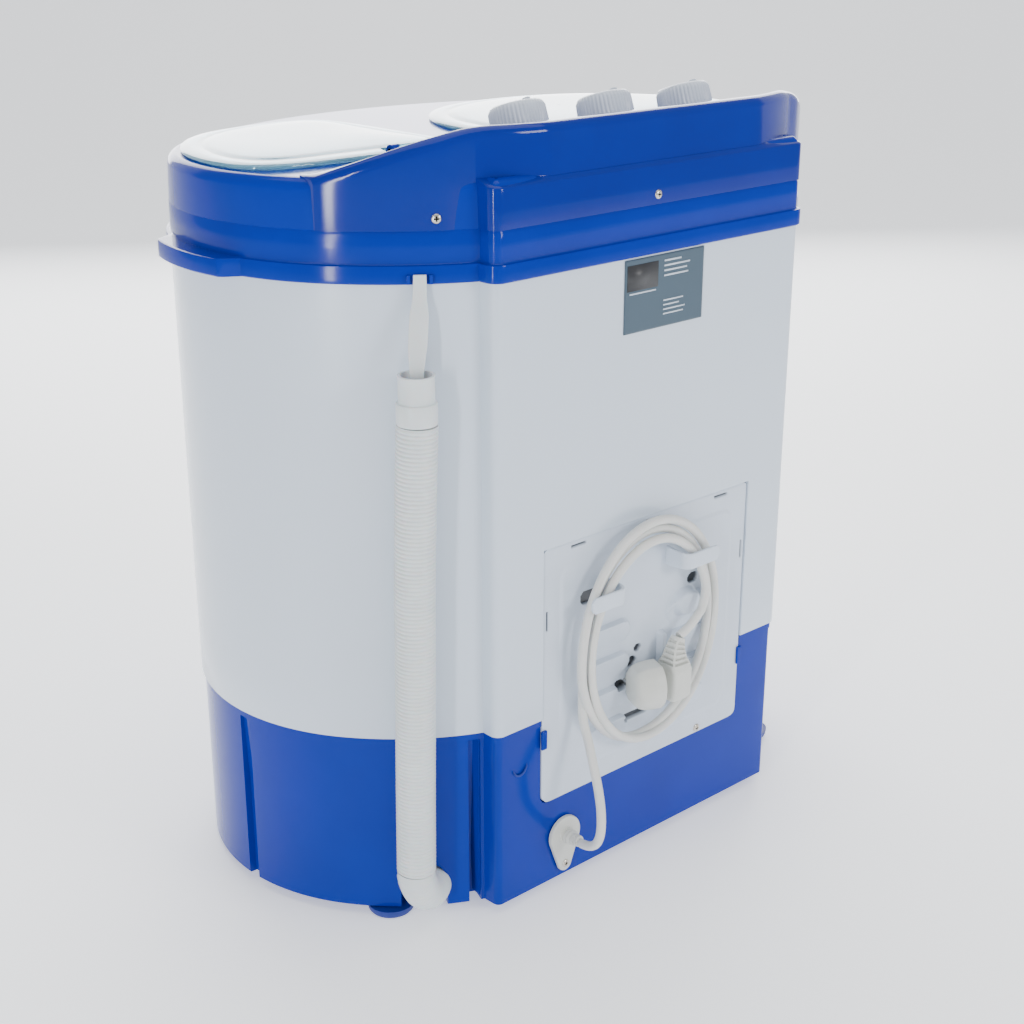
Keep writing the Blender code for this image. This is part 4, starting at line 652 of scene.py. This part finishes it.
column, corner, ends = plan["column"], plan["corner"], console["half"]
turnIn = np.linspace(0, np.pi / 2, 9)
xs = np.concatenate([np.linspace(0, column - corner, 40)[:-1], column - corner + corner * np.sin(turnIn),
                     [column + 0.0001], np.linspace(column + 0.0015, ends - 0.0012, 44), [ends - 0.0004, ends]])
xs = np.concatenate([-xs[::-1][:-1], xs])
endLift = np.where(np.abs(xs) > ends - 0.0008, 0.0006, 0.0)
onBack = np.abs(xs) <= column + 1e-6
lowRear = columnLine(xs) + endLift
highRear = np.maximum(rearLine(xs, 0.003 * (1 - smooth((np.abs(xs) - column) / 0.022))), lowRear)
lowRear = np.where(onBack, lowRear, highRear)
front = consoleFront(xs) - endLift
top = ridgeLine(xs) - endLift
step = np.clip((highRear - lowRear) / 0.003, 0.0, 1.0)
ledgeZ = ledge - 0.0035 * smooth((np.abs(xs) - column) / 0.006)
grooveZ = ledgeZ + np.minimum(np.where(onBack, 0.0045, 0.003), (highRear - lowRear) * 0.45 + 0.0010 * step)
roundR = np.clip((top - grooveZ) * 0.45, 0.0008, 0.0065)
topStart = highRear + roundR
flat = np.ones_like(xs)
columns = [(lowRear, (seam + 0.0003) * flat), (lowRear, (seam + 0.0012) * flat), (lowRear, ledgeZ - 0.0010),
           (lowRear + 0.0003 * step, ledgeZ - 0.0003), (lowRear + 0.0010 * step, ledgeZ + 0.0003 * step),
           (highRear - 0.0006 * step, grooveZ + 0.0001), (highRear - 0.0001 * step, grooveZ + 0.0002),
           (highRear, grooveZ + 0.0006)]
for a in np.linspace(0, np.pi / 2, 8):
    columns.append((highRear + roundR * (1 - np.cos(a)), top - roundR * (1 - np.sin(a))))
crest = np.maximum(console["ridge"], topStart + 0.001)
columns.append((crest, top))
for t in np.linspace(0.06, 0.985, 16):
    columns.append((crest + (front - crest) * t, top + (deck + 0.0012 - top) * t))
columns += [(front - 0.0002, (deck + 0.0008) * flat), (front, (deck - 0.0002) * flat),
            (front, (deck - 0.0060) * flat), (front - 0.004, (deck - 0.0060) * flat), (lowRear + 0.012, (seam + 0.0003) * flat)]
section = np.stack([np.column_stack([xs, yAt(d), z]) for d, z in columns], axis=1)
consolePiece = gridPiece("consoleCover", section, "casing", consoleBlue, angle=32)
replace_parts(consolePiece, "console_cover")
print("console made")

# knobs: ribbed grips with a flat cap and a pointer, square to the console's slope
knobForm = {"r": 0.0198, "high": 0.0195, "ribs": 44, "rib": 0.0008, "pitch": 0.0807, "depth": 0.054}
slope = math.atan2(console["rise"], console["front"] - console["ridge"])
for k, body in enumerate(("spin_timer_knob", "selector_knob", "wash_timer_knob")):
    r, h = knobForm["r"], knobForm["high"]
    profile = np.array([(0.003, -0.0175), (0.003, 0.0010), (r - 0.0012, 0.0010), (r + 0.0002, 0.0014),
                        (r + 0.0002, 0.0034), (r - 0.0006, 0.0038), (r - 0.0007, 0.0050), (r - 0.0011, h - 0.0042),
                        (r - 0.0016, h - 0.0030), (r - 0.0020, h - 0.0014), (r - 0.0034, h - 0.0003),
                        (r - 0.0050, h), (r * 0.4, h + 0.0004), (0.0004, h + 0.0004)])
    a = np.linspace(0, 2 * np.pi, knobForm["ribs"] * 8, endpoint=False)
    ribbed = np.zeros(len(profile))
    ribbed[6:9] = (1.0, 1.0, 0.8)  # only the grip's three rings carry ribs
    wave = 0.5 + 0.5 * np.cos(a * knobForm["ribs"])
    radius = profile[:, 0:1] + ribbed[:, None] * knobForm["rib"] * (wave ** 0.7)[None, :]
    levels = np.broadcast_to(profile[:, 1:2], radius.shape)
    local = np.stack([radius * np.cos(a), radius * np.sin(a), levels], axis=-1)
    x0 = (1 - k) * knobForm["pitch"]
    up = console["rise"] * (console["front"] - knobForm["depth"]) / (console["front"] - console["ridge"])
    origin = np.array([x0, yAt(knobForm["depth"]), deck + up])
    tilt = np.array([[1, 0, 0], [0, math.cos(slope), math.sin(slope)], [0, -math.sin(slope), math.cos(slope)]])
    knobPiece = gridPiece("knobGrip" + str(k + 1), local @ tilt + origin, body, knobWhite, angle=30)
    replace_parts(knobPiece, body)
    pill = np.linspace(0, 2 * np.pi, 28, endpoint=False)
    rows = []
    for grow, z in ((1.0, h - 0.0006), (1.0, h + 0.0010), (0.7, h + 0.0016), (0.05, h + 0.0017)):
        rows.append(np.column_stack([0.0013 * grow * np.cos(pill), r * 0.56 + 0.0042 * grow * np.sin(pill),
                                     np.full(len(pill), z)]))
    gridPiece("knobPointer" + str(k + 1), np.stack(rows) @ tilt + origin, body, knobWhite)
print("knobs made")

# back panel: a sunk sheet whose height over x and z is a sum of smooth louvres, a raised field, slots and holes
panel = {"face": 0.0010, "cols": 262, "rows": 246, "louvre": 0.0052, "soft": 0.0026, "deep": 0.0022,
         "louvreX": (0.043, -0.041), "louvreZ": 0.1935, "louvrePitch": 0.0262, "louvreHalf": 0.0235,
         "louvreHigh": 0.0112,
         "holes": [(0.0600, 0.2315, 0.0115, 0.0052), (-0.0480, 0.2150, 0.0060, 0.0040),
                   (0.0118, 0.1199, 0.0140, 0.0028), (0.0170, 0.1650, 0.0048, 0.0040),
                   (0.0110, 0.1745, 0.0036, 0.0028), (0.0300, 0.1500, 0.0050, 0.0036)],
         "topSlots": (0.073, -0.002, -0.077), "sideSlots": (0.1030, -0.1030)}


def pillGap(x, z, centre, half, high):
    # distance outside a pill lying along x, negative inside it
    run = half - high
    return np.hypot(np.maximum(np.abs(x - centre[0]) - run, 0.0), z - centre[1]) - high


def boxGap(x, z, low, high, r=0.0):
    # distance outside a rectangle whose corners have radius r, negative inside it
    cx, cz = (low[0] + high[0]) / 2, (low[1] + high[1]) / 2
    qx, qz = np.abs(x - cx) - (high[0] - low[0]) / 2 + r, np.abs(z - cz) - (high[1] - low[1]) / 2 + r
    return np.hypot(np.maximum(qx, 0.0), np.maximum(qz, 0.0)) + np.minimum(np.maximum(qx, qz), 0.0) - r


u, v = np.meshgrid(np.linspace(-1, 1, panel["cols"]), np.linspace(0, 1, panel["rows"]))
pz = panelLow + v * (panelHigh - panelLow)
nearLow, nearHigh = np.clip(1 - (pz - panelLow) / 0.008, 0, 1), np.clip(1 - (panelHigh - pz) / 0.004, 0, 1)
px = u * (panelHalf - 0.008 * (1 - np.sqrt(1 - nearLow ** 2)) - 0.004 * (1 - np.sqrt(1 - nearHigh ** 2)))
rise = 0.0008 * smooth(-boxGap(px, pz, (-0.092, 0.093), (0.092, 0.2625), 0.012) / 0.004)
for row in range(4):
    for middle in panel["louvreX"]:
        level = panel["louvreZ"] - row * panel["louvrePitch"]
        gap = pillGap(px, pz, (middle, level), panel["louvreHalf"], panel["louvreHigh"])
        lean = np.clip(0.55 + (pz - level) / 0.022, 0.12, 1.0)
        rise = np.maximum(rise, panel["louvre"] * lean * smooth(-gap / panel["soft"]))
rise = np.maximum(rise, 0.0060 * smooth(-boxGap(px, pz, (-0.0170, 0.152), (-0.0090, 0.182), 0.002) / 0.002))
rise = np.maximum(rise, 0.0080 * smooth(-pillGap(px, pz, (-0.0385, 0.1985), 0.0155, 0.0125) / 0.0050))
cutGap = np.full_like(px, 1.0)
for x0, z0, half, high in panel["holes"]:
    cutGap = np.minimum(cutGap, pillGap(px, pz, (x0, z0), half, high))
for x0 in panel["topSlots"]:
    cutGap = np.minimum(cutGap, boxGap(px, pz, (x0 - 0.0072, 0.2731), (x0 + 0.0072, 0.2748)))
for x0 in panel["sideSlots"]:
    cutGap = np.minimum(cutGap, boxGap(px, pz, (x0 - 0.0008, 0.216), (x0 + 0.0008, 0.231)))
# mask of the holes' and slots' dents, also used to paint shade into them
shadedHollow = smooth(-cutGap / 0.0006 + 0.35)
rise = rise * (1 - shadedHollow) - panel["deep"] * shadedHollow
edgeGap = np.minimum(panelHalf - np.abs(px), np.minimum(pz - panelLow, panelHigh - pz))
rise = rise - 0.0005 * (1 - smooth(edgeGap / 0.0012))
face = backY - panel["face"]
sheet = np.stack([px, face + rise, pz], axis=-1)
back = np.stack([px, np.full_like(px, face - 0.0026), pz], axis=-1)
faces = gridFaces(panel["rows"], panel["cols"], False, False)
count = sheet.shape[0] * sheet.shape[1]
index = np.arange(count).reshape(sheet.shape[:2])
loop = np.concatenate([index[0], index[1:, -1], index[-1, -2::-1], index[-2:0:-1, 0]])
walls = np.stack([loop, np.roll(loop, -1), np.roll(loop, -1) + count, loop + count], axis=1)
# the back is one flat face on the rim's points, so only those are kept from the second sheet
points = np.vstack([sheet.reshape(-1, 3), back.reshape(-1, 3)])
keep = np.concatenate([np.arange(count), loop + count])
renumber = np.zeros(len(points), int)
renumber[keep] = np.arange(len(keep))
panelFaces = renumber[np.vstack([faces, walls])].tolist() + [renumber[loop + count].tolist()]
# this finish paints the dents of the holes and slots near black: painted shade standing in for openings
panelFinish = withPaintedShade(moulded("panelShell", (0.60, 0.67, 0.77), 0.38, 0.03, 30.0, 0.10, 1400.0), "shadedHollow")
panelPiece = meshPiece("backPanel", points[keep], panelFaces, "casing", panelFinish, 50.0,
                       {"shadedHollow": np.concatenate([shadedHollow.ravel(), np.zeros(len(loop))])})
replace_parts(panelPiece, "back_panel")

# the base's two tabs over the panel's edges, and its thin crescent lip
for side, label in ((1, "Left"), (-1, "Right")):
    ring = [(0.1088, 0.0002), (0.1088, 0.0022), (0.1040, 0.0022), (0.1040, 0.0002)]
    tab = np.array([[(side * x, face + out, z) for x, out in ring] for z in (0.1235, 0.1385)])
    bezel(gridPiece("panelTab" + label, tab, "casing", royalBlue), 0.0005)
lipAngle = np.linspace(math.radians(200), math.radians(352), 40)
lipPath = np.stack([0.1285 - 0.0068 * np.cos(lipAngle), np.full(40, backY - 0.0012),
                    0.1185 + 0.0085 * np.sin(lipAngle)], axis=1)
lipR = 0.0009 * np.sqrt(np.clip(np.sin(np.linspace(0.05, np.pi - 0.05, 40)), 0.02, 1.0))
gridPiece("baseLip", tubeGrid(lipPath, lipR, 12, (0.0, 1.0, 0.0)), "casing", footBlue)

# cord hooks: flat fingers that stand off the panel and reach over the coil
hookForm = {"high": 0.0060, "thick": 0.0014, "reach": 0.022}
for label, root, tip, tall in (("Left", 0.0462, 0.0800, 0.2345), ("Right", -0.0180, -0.0520, 0.2415)):
    out = math.copysign(1.0, tip - root)
    tipY = backY + hookForm["reach"] - hookForm["thick"]
    route = [(root, face - 0.0010, 0.0), (root, face + 0.0100, 0.0), (root + out * 0.0004, tipY - 0.0040, 0.0),
             (root + out * 0.0044, tipY, 0.0), (root + out * 0.0120, tipY, 0.0), (tip - out * 0.004, tipY, 0.0),
             (tip, tipY, 0.0)]
    path, _ = pathThrough(route, 40)
    along = np.gradient(path, axis=0)
    along /= np.linalg.norm(along, axis=1)[:, None]
    side = np.stack([-along[:, 1], along[:, 0], np.zeros(len(path))], axis=1)
    t = np.linspace(0, 1, len(path))
    half = hookForm["high"] * (1.0 + 0.22 * (1 - smooth(t / 0.5))) * np.sqrt(np.clip((1.015 - t) / 0.06, 0.25, 1.0))
    thick = hookForm["thick"] * (1.15 - 0.35 * t)
    corner = np.linspace(0, 2 * np.pi, 32, endpoint=False)
    squareX = np.sign(np.cos(corner)) * np.abs(np.cos(corner)) ** 0.35
    squareZ = np.sign(np.sin(corner)) * np.abs(np.sin(corner)) ** 0.35
    grid = path[:, None, :] + (0, 0, tall) + side[:, None, :] * (thick[:, None] * squareX)[..., None] \
        + np.array([0, 0, 1.0]) * (half[:, None] * squareZ)[..., None]
    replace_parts(gridPiece("cordHook" + label, grid, "casing", panelWhite), "back_panel")
print("back panel made")

# screws
screwForm = {"r": 0.0032, "high": 0.0016, "angle": 58.2, "sideZ": 0.5130, "backX": 0.004, "backZ": 0.512}
# the screw finish paints the slots near black: painted shade
screwFinish = withPaintedShade(moulded("screwSteel", (0.62, 0.58, 0.50), 0.28, 0.10, 300.0, 0.15, 1800.0, metal=1.0),
                       "shadedHollow", (0.02, 0.02, 0.02))


def screwHead(name, place, outward, r=screwForm["r"], high=screwForm["high"]):
    # a dome whose height falls to a quarter inside a cross of two slots; the slots are painted dark as shade
    outward = np.asarray(outward, float) / np.linalg.norm(outward)
    side = np.cross(outward, (0.0, 0.0, 1.0))
    side /= np.linalg.norm(side)
    up = np.cross(side, outward)
    rings = np.concatenate([np.linspace(0.02, 0.96, 22), [1.0, 1.0]]) * r
    rho, a = np.meshgrid(rings, np.linspace(0, 2 * np.pi, 64, endpoint=False), indexing="ij")
    p, q = rho * np.cos(a + 0.5), rho * np.sin(a + 0.5)
    dome = high * np.sqrt(np.clip(1 - (rho / (1.04 * r)) ** 2, 0.0, 1.0))
    cross = np.minimum(np.maximum(np.abs(p) - 0.13 * r, np.abs(q) - 0.52 * r),
                       np.maximum(np.abs(q) - 0.13 * r, np.abs(p) - 0.52 * r))
    shadedHollow = smooth(-cross / (0.10 * r) + 0.4)
    dome = dome - 0.75 * high * shadedHollow
    dome[-1] = -0.0006
    points = np.asarray(place, float) + p[..., None] * side + q[..., None] * up + dome[..., None] * outward
    return gridPiece(name, points, "casing", screwFinish, angle=50, layers={"shadedHollow": shadedHollow})


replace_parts(screwHead("panelScrew", (-0.060, face, panelLow + 0.0044), (0, 1, 0)), "panel_screw")
screwHead("consoleScrewBack", (screwForm["backX"], backY, screwForm["backZ"]), (0, 1, 0))
for side, label in ((1, "Left"), (-1, "Right")):
    a = math.radians(screwForm["angle"])
    reach = plan["rearR"] + 0.0001
    x, y = side * (plan["rearX"] + reach * math.cos(a)), yAt(plan["rearDepth"]) + reach * math.sin(a)
    screwHead("consoleScrew" + label, (x, y, screwForm["sideZ"]), (side * math.cos(a), math.sin(a), 0))

# gland: a teardrop plate, its boss with rings, and its screw
gland = {"x": 0.0845, "z": 0.0440, "big": 0.0150, "small": 0.0065, "drop": 0.0245}
lean = math.acos((gland["big"] - gland["small"]) / gland["drop"])
upper = np.linspace(-np.pi / 2 + lean, 1.5 * np.pi - lean, 48)
lower = np.linspace(1.5 * np.pi - lean, 1.5 * np.pi + lean, 18)[1:-1]
rows = []
for shrink, y in ((0.0, 0.0003), (0.0, 0.0024), (0.0004, 0.0030), (0.0012, 0.0033), (0.0040, 0.0033)):
    bigR, smallR = gland["big"] - shrink, gland["small"] - shrink
    lowZ = gland["z"] - gland["drop"]
    ring = np.vstack([np.column_stack([gland["x"] + bigR * np.cos(upper), gland["z"] + bigR * np.sin(upper)]),
                      np.column_stack([gland["x"] + smallR * np.cos(lower), lowZ + smallR * np.sin(lower)])])
    rows.append(np.column_stack([ring[:, 0], np.full(len(ring), backY - base["inset"] + y), ring[:, 1]]))
glandPiece = gridPiece("glandPlate", np.stack(rows), "casing", plugCream)
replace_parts(glandPiece, "cord_gland")
t = np.linspace(0, 1, 80)
bossPath = np.stack([np.full(80, gland["x"]), backY + 0.0005 + t * 0.0155, gland["z"] + 0.0008 * t ** 2], axis=1)
bossR = np.interp(t, [0, 0.10, 0.50, 0.54, 0.60, 1.0], [0.0078, 0.0062, 0.0058, 0.0054, 0.0050, 0.0042])
bossR = bossR - 0.0006 * (np.sin(t * 2 * np.pi * 5.0) > 0.55) * (t > 0.14) * (t < 0.95)
bossGrid = tubeGrid(bossPath, bossR, 28, (1.0, 0.0, 0.0))
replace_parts(gridPiece("glandRelief", bossGrid, "casing", plugCream), "cord_gland")
glandScrewAt = (gland["x"] + 0.0005, backY - base["inset"] + 0.0032, gland["z"] - gland["drop"])
screwHead("glandScrew", glandScrewAt, (0, 1, 0), 0.0030, 0.0014)

# plug: a round puck, a square-shouldered body across its face and a slotted relief that leans over
plug = {"x": 0.0150, "z": 0.1510, "r": 0.0190, "y": 0.0165, "bodyX": -0.0100, "bodyLow": 0.1340, "bodyHigh": 0.1690}
centre = np.array([plug["x"], backY + plug["y"], plug["z"]])
puckAxis = np.array([-0.93, 0.36, 0.0])
puckAxis /= np.linalg.norm(puckAxis)
puckSide = np.array([-puckAxis[1], puckAxis[0], 0.0])
a = np.linspace(0, 2 * np.pi, 96, endpoint=False)
rows = []
for scale, along in ((0.02, -0.0150), (0.50, -0.0150), (0.72, -0.0142), (0.88, -0.0112), (0.97, -0.0062), (1.0, 0.0),
                     (1.0, 0.0060), (0.97, 0.0072), (0.90, 0.0078), (0.30, 0.0078), (0.02, 0.0078)):
    ringR = plug["r"] * scale * np.minimum(1.0, 0.90 / np.maximum(np.abs(np.sin(a)), 1e-6))
    deepR = np.minimum(ringR, 0.0158 * scale + 0.0008)
    rows.append(centre + puckAxis * along + np.outer(deepR * np.cos(a), puckSide)
                + np.outer(ringR * np.sin(a), (0, 0, 1.0)))
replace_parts(gridPiece("plugPuck", np.stack(rows), "casing", plugCream, angle=40), "mains_plug")
neckRoute = [(plug["bodyX"], backY + 0.0170, plug["bodyLow"]), (plug["bodyX"] - 0.0002, backY + 0.0172, 0.1460),
             (plug["bodyX"] - 0.0010, backY + 0.0172, plug["bodyHigh"] - 0.003),
             (plug["bodyX"] - 0.0026, backY + 0.0168, 0.1745), (-0.0155, backY + 0.0165, 0.1810)]
neckPath, _ = pathThrough(neckRoute, 170)
t = np.linspace(0, 1, 170)
stations = [0, 0.02, 0.06, 0.50, 0.60, 0.68, 1.0]
wide = np.interp(t, stations, [0.0085, 0.0098, 0.0106, 0.0106, 0.0098, 0.0080, 0.0052])
deep = np.interp(t, stations, [0.0090, 0.0103, 0.0110, 0.0108, 0.0092, 0.0074, 0.0052])
corner = np.linspace(0, 2 * np.pi, 64, endpoint=False)
power = np.interp(t, [0, 0.5, 0.7, 1.0], [0.30, 0.30, 0.45, 0.9])[:, None]
sx = np.sign(np.cos(corner)) * np.abs(np.cos(corner)) ** power
sy = np.sign(np.sin(corner)) * np.abs(np.sin(corner)) ** power
tangent = np.gradient(neckPath, axis=0)
tangent /= np.linalg.norm(tangent, axis=1)[:, None]
acrossX = np.stack([tangent[:, 2], np.zeros(len(t)), -tangent[:, 0]], axis=1)
acrossY = np.cross(tangent, acrossX) * -1.0
ringPhase = (t - 0.56) / 0.074
grooves = ((ringPhase % 1.0) > 0.52) & (t > 0.56) & (t < 0.965)
columns = np.abs(np.sin(2 * corner)) < 0.88
dent = np.where(grooves[:, None] & columns[None, :], 0.76, 1.0)
neck = neckPath[:, None, :] + (wide[:, None] * sx * dent)[..., None] * acrossX[:, None, :] \
    + (deep[:, None] * sy * dent)[..., None] * acrossY[:, None, :]
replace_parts(gridPiece("plugBody", neck, "casing", plugCream, angle=40), "mains_plug")
for sideways in (-1, 1):
    path = np.stack([np.full(14, plug["x"] + 0.0095 * sideways), backY + 0.0040 - np.linspace(0, 0.0185, 14),
                     np.full(14, plug["z"])], axis=1)
    radius = 0.0024 * np.sqrt(np.clip(1 - (np.linspace(0, 1, 14) - 0.88).clip(0) ** 2 / 0.0145, 0.05, 1))
    pin = tubeGrid(path, radius, 20, (1.0, 0.0, 0.0))
    label = "A" if sideways < 0 else "B"
    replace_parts(gridPiece("plugPin" + label, pin, "casing", zincSteel), "mains_plug")
print("plug and gland made")

# hose fittings: elbow, cuff and strap
elbowRoute = np.array([(0.2063, 0.0250, 0.0535), (0.2061, 0.0251, 0.0470), (0.1998, 0.0272, 0.0335),
                       (0.1910, 0.0308, 0.0266), (0.1820, 0.0370, 0.0250), (0.1735, 0.0460, 0.0250)])
elbowRoute[:, 1] = yAt(elbowRoute[:, 1])
elbowPath, elbowLong = pathThrough(elbowRoute, 160)
s = np.linspace(0, elbowLong, 160)
elbowR = 0.0137 - 0.0005 * (0.5 + 0.5 * np.cos(2 * np.pi * s / hose["pitch"]))
elbowPiece = gridPiece("drainElbow", tubeGrid(elbowPath, elbowR, 48, (0.3, 1.0, 0.3)), "casing",
                       hoseMilk, angle=70)
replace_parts(elbowPiece, "drain_elbow")
top = hosePath[-1]
cuffProfile = [(0.0100, 0.0008), (0.0133, 0.0008), (0.0136, 0.0014), (0.0136, 0.0142), (0.0133, 0.0150),
               (0.0122, 0.0156), (0.0120, 0.0164), (0.0119, 0.0318), (0.0123, 0.0324), (0.0122, 0.0332), (0.0104, 0.0332),
               (0.0101, 0.0322), (0.0100, 0.0200)]
cuffGrid = turnedGrid([(r0, top[2] + h) for r0, h in cuffProfile], top[:2])
cuffPiece = gridPiece("hoseCuff", cuffGrid, "casing", hoseMilk, closeU=True)
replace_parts(cuffPiece, "hose_cuff")
wallC = np.array([plan["rearX"], yAt(plan["rearDepth"])])
outward = (top[:2] - wallC) / np.linalg.norm(top[:2] - wallC)
sideways = np.array([-outward[1], outward[0]])
reach = np.linalg.norm(top[:2] - wallC) - plan["rearR"]
z = np.linspace(0, 1, 60)
heights = top[2] + 0.020 + z * (rimLow + 0.0068 - top[2] - 0.020)
off = np.interp(z, [0, 0.2, 0.45, 0.80, 0.9, 1.0], [reach, reach - 0.0006, reach - 0.0050, 0.0068, 0.0052, 0.0047])
wide = np.interp(z, [0, 0.18, 0.42, 0.66, 0.80, 1.0], [0.0050, 0.0046, 0.0062, 0.0062, 0.0046, 0.0042])
ringA = np.linspace(0, 2 * np.pi, 24, endpoint=False)
flatX = np.sign(np.cos(ringA)) * np.abs(np.cos(ringA)) ** 0.4
flatY = np.sign(np.sin(ringA)) * np.abs(np.sin(ringA)) ** 0.6
lean = sideways * (0.0042 * smooth(z))[:, None]
plane = wallC[None, None, :] + lean[:, None, :] + outward * (plan["rearR"] + off[:, None] + 0.0010 * flatY)[..., None]
plane = plane + sideways * (wide[:, None] * flatX)[..., None]
strap = np.concatenate([plane, np.broadcast_to(heights[:, None, None], plane.shape[:2] + (1,))], axis=-1)
for nudge in (-1, 1):
    nubPlace = wallC + lean[-1] + outward * (plan["rearR"] + 0.0022) + sideways * 0.0072 * nudge
    ring = ((0.0, -0.0012), (0.0028, -0.0012), (0.0028, 0.0012), (0.0, 0.0012))
    nub = np.array([[(*(nubPlace + outward * o + sideways * e), rimLow + h) for o, e in ring]
                    for h in (0.0006, 0.0066)])
    label = "A" if nudge < 0 else "B"
    bezel(gridPiece("hangerNub" + label, nub, "casing", royalBlue), 0.0004)
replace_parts(gridPiece("hoseStrap", strap, "casing", hoseMilk), "hose_hanger")
print("hose fittings made")

# rating plate: plain printed foil with blank bars
plate = {"low": (-0.0440, 0.4190), "high": (0.0350, 0.4705), "thick": 0.0005, "shift": 0.0045,
         "bars": [(0.0375, 0.0070, 0.4485, 0.4665, darkPlastic), (0.0350, 0.0090, 0.4460, 0.4470, panelWhite),
                  (0.0010, -0.0160, 0.4650, 0.4662, panelWhite), (0.0010, -0.0250, 0.4615, 0.4627, panelWhite),
                  (0.0010, -0.0220, 0.4580, 0.4592, panelWhite), (0.0010, -0.0235, 0.4545, 0.4557, panelWhite),
                  (0.0010, -0.0190, 0.4370, 0.4380, panelWhite), (0.0010, -0.0150, 0.4338, 0.4348, panelWhite),
                  (0.0010, -0.0210, 0.4306, 0.4316, panelWhite), (0.0010, -0.0195, 0.4274, 0.4284, panelWhite)]}
u, w = np.meshgrid(np.linspace(0, 1, 60), np.linspace(0, 1, 40))
lx = plate["low"][0] + u * (plate["high"][0] - plate["low"][0])
lz = plate["low"][1] + w * (plate["high"][1] - plate["low"][1])
front = np.stack([lx, np.full_like(lx, backY + 0.0008), lz], axis=-1)
labelFoil = moulded("labelFoil", (0.060, 0.095, 0.130), 0.45, 0.03, 30.0, 0.05, 900.0, shine=0.3)
labelPiece = gridPiece("ratingPlate", front, "casing", labelFoil, closeV=False, caps=False)
solid = labelPiece.modifiers.new("thick", "SOLIDIFY")
solid.thickness, solid.offset = plate["thick"], -1.0
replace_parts(labelPiece, "rating_label")
for k, (x0, x1, z0, z1, ink) in enumerate(plate["bars"]):
    bar = np.array([[(x0, z0), (x1, z0)], [(x0, z1), (x1, z1)]]) - (plate["shift"], 0.0)
    bar = np.stack([bar[..., 0], np.full((2, 2), backY + 0.00095), bar[..., 1]], axis=-1)
    barPiece = gridPiece("plateBar" + str(k + 1), bar, "casing", ink, closeV=False, caps=False)
    solid = barPiece.modifiers.new("thick", "SOLIDIFY")
    solid.thickness, solid.offset = 0.0001, 0.0

# feet: turned pads that flare towards the base
footProfile = [(0.0004, 0.0), (0.0140, 0.0), (0.0158, 0.0004), (0.0168, 0.0016), (0.0176, 0.0040), (0.0180, 0.0067),
               (0.0004, 0.0067)]
for k in range(4):
    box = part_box("foot_" + str(k + 1))
    mid = ((box[0][0] + box[1][0]) / 2, (box[0][1] + box[1][1]) / 2)
    footPiece = gridPiece("foot" + str(k + 1), turnedGrid(footProfile, mid, 56), "casing", footBlue)
    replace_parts(footPiece, "foot_" + str(k + 1))
print("feet made")

# floor and light: the floor bends up into a backdrop along a quarter circle
sweep = {"near": 9.0, "bend": -2.4, "r": 1.6, "high": 4.5, "half": 9.0, "glow": 0.55}
run = [(sweep["near"], 0.0)]
for a in np.linspace(0, np.pi / 2, 24):
    run.append((sweep["bend"] - sweep["r"] * math.sin(a), sweep["r"] * (1 - math.cos(a))))
run.append((sweep["bend"] - sweep["r"], sweep["high"]))
facing = math.radians(view["turn"][2])
away = np.array([math.sin(facing), -math.cos(facing)])
aside = np.array([math.cos(facing), math.sin(facing)])
floorGrid = np.stack([[(*(away * d + aside * e), h) for e in (-sweep["half"], sweep["half"])] for d, h in run])
floor = bpy.data.meshes.new("floor")
floor.from_pydata(floorGrid.reshape(-1, 3).tolist(), [], gridFaces(len(run), 2, False, False).tolist())
floor.shade_smooth()
floorObj = bpy.data.objects.new("floor", floor)
bpy.context.scene.collection.objects.link(floorObj)
paleFloor = moulded("paleFloor", (0.92, 0.93, 0.94), 0.7, 0.005, 2.0, 0.0, 50.0)
floorShader = paleFloor.node_tree.nodes["Principled BSDF"]
floorShader.inputs["Emission Color"].default_value = (0.95, 0.97, 1.0, 1.0)
floorShader.inputs["Emission Strength"].default_value = sweep["glow"]
floorObj.data.materials.append(paleFloor)
floorObj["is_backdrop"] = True


def softLight(name, place, target, size, power):
    # a rectangular light turned to face the target
    data = bpy.data.lights.new(name, "AREA")
    data.shape, data.size, data.size_y = "RECTANGLE", size[0], size[1]
    data.energy = power
    obj = bpy.data.objects.new(name, data)
    bpy.context.scene.collection.objects.link(obj)
    obj.location = place
    gap = np.asarray(target, float) - np.asarray(place, float)
    tip = math.atan2(math.hypot(gap[0], gap[1]), -gap[2])
    obj.rotation_euler = (tip, 0.0, math.atan2(gap[1], gap[0]) - math.pi / 2)


softLight("keyLight", (-0.9, 3.0, 1.5), (0.0, 0.0, 0.3), (0.9, 0.9), 46.0)
softLight("sideStrip", (2.30, 1.02, 0.70), (0.1, 0.0, 0.32), (0.13, 1.3), 26.0)
softLight("farLight", (-1.1, -1.5, 1.2), (0.0, 0.0, 0.5), (2.6, 1.8), 80.0)
softLight("topLight", (0.0, 0.0, 2.6), (0.0, 0.0, 0.3), (2.4, 2.4), 30.0)
world = bpy.data.worlds.new("world")
world.use_nodes = True
world.node_tree.nodes["Background"].inputs["Color"].default_value = (0.93, 0.95, 1.0, 1.0)
world.node_tree.nodes["Background"].inputs["Strength"].default_value = 0.55
bpy.context.scene.world = world
print("stage set")

low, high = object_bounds()
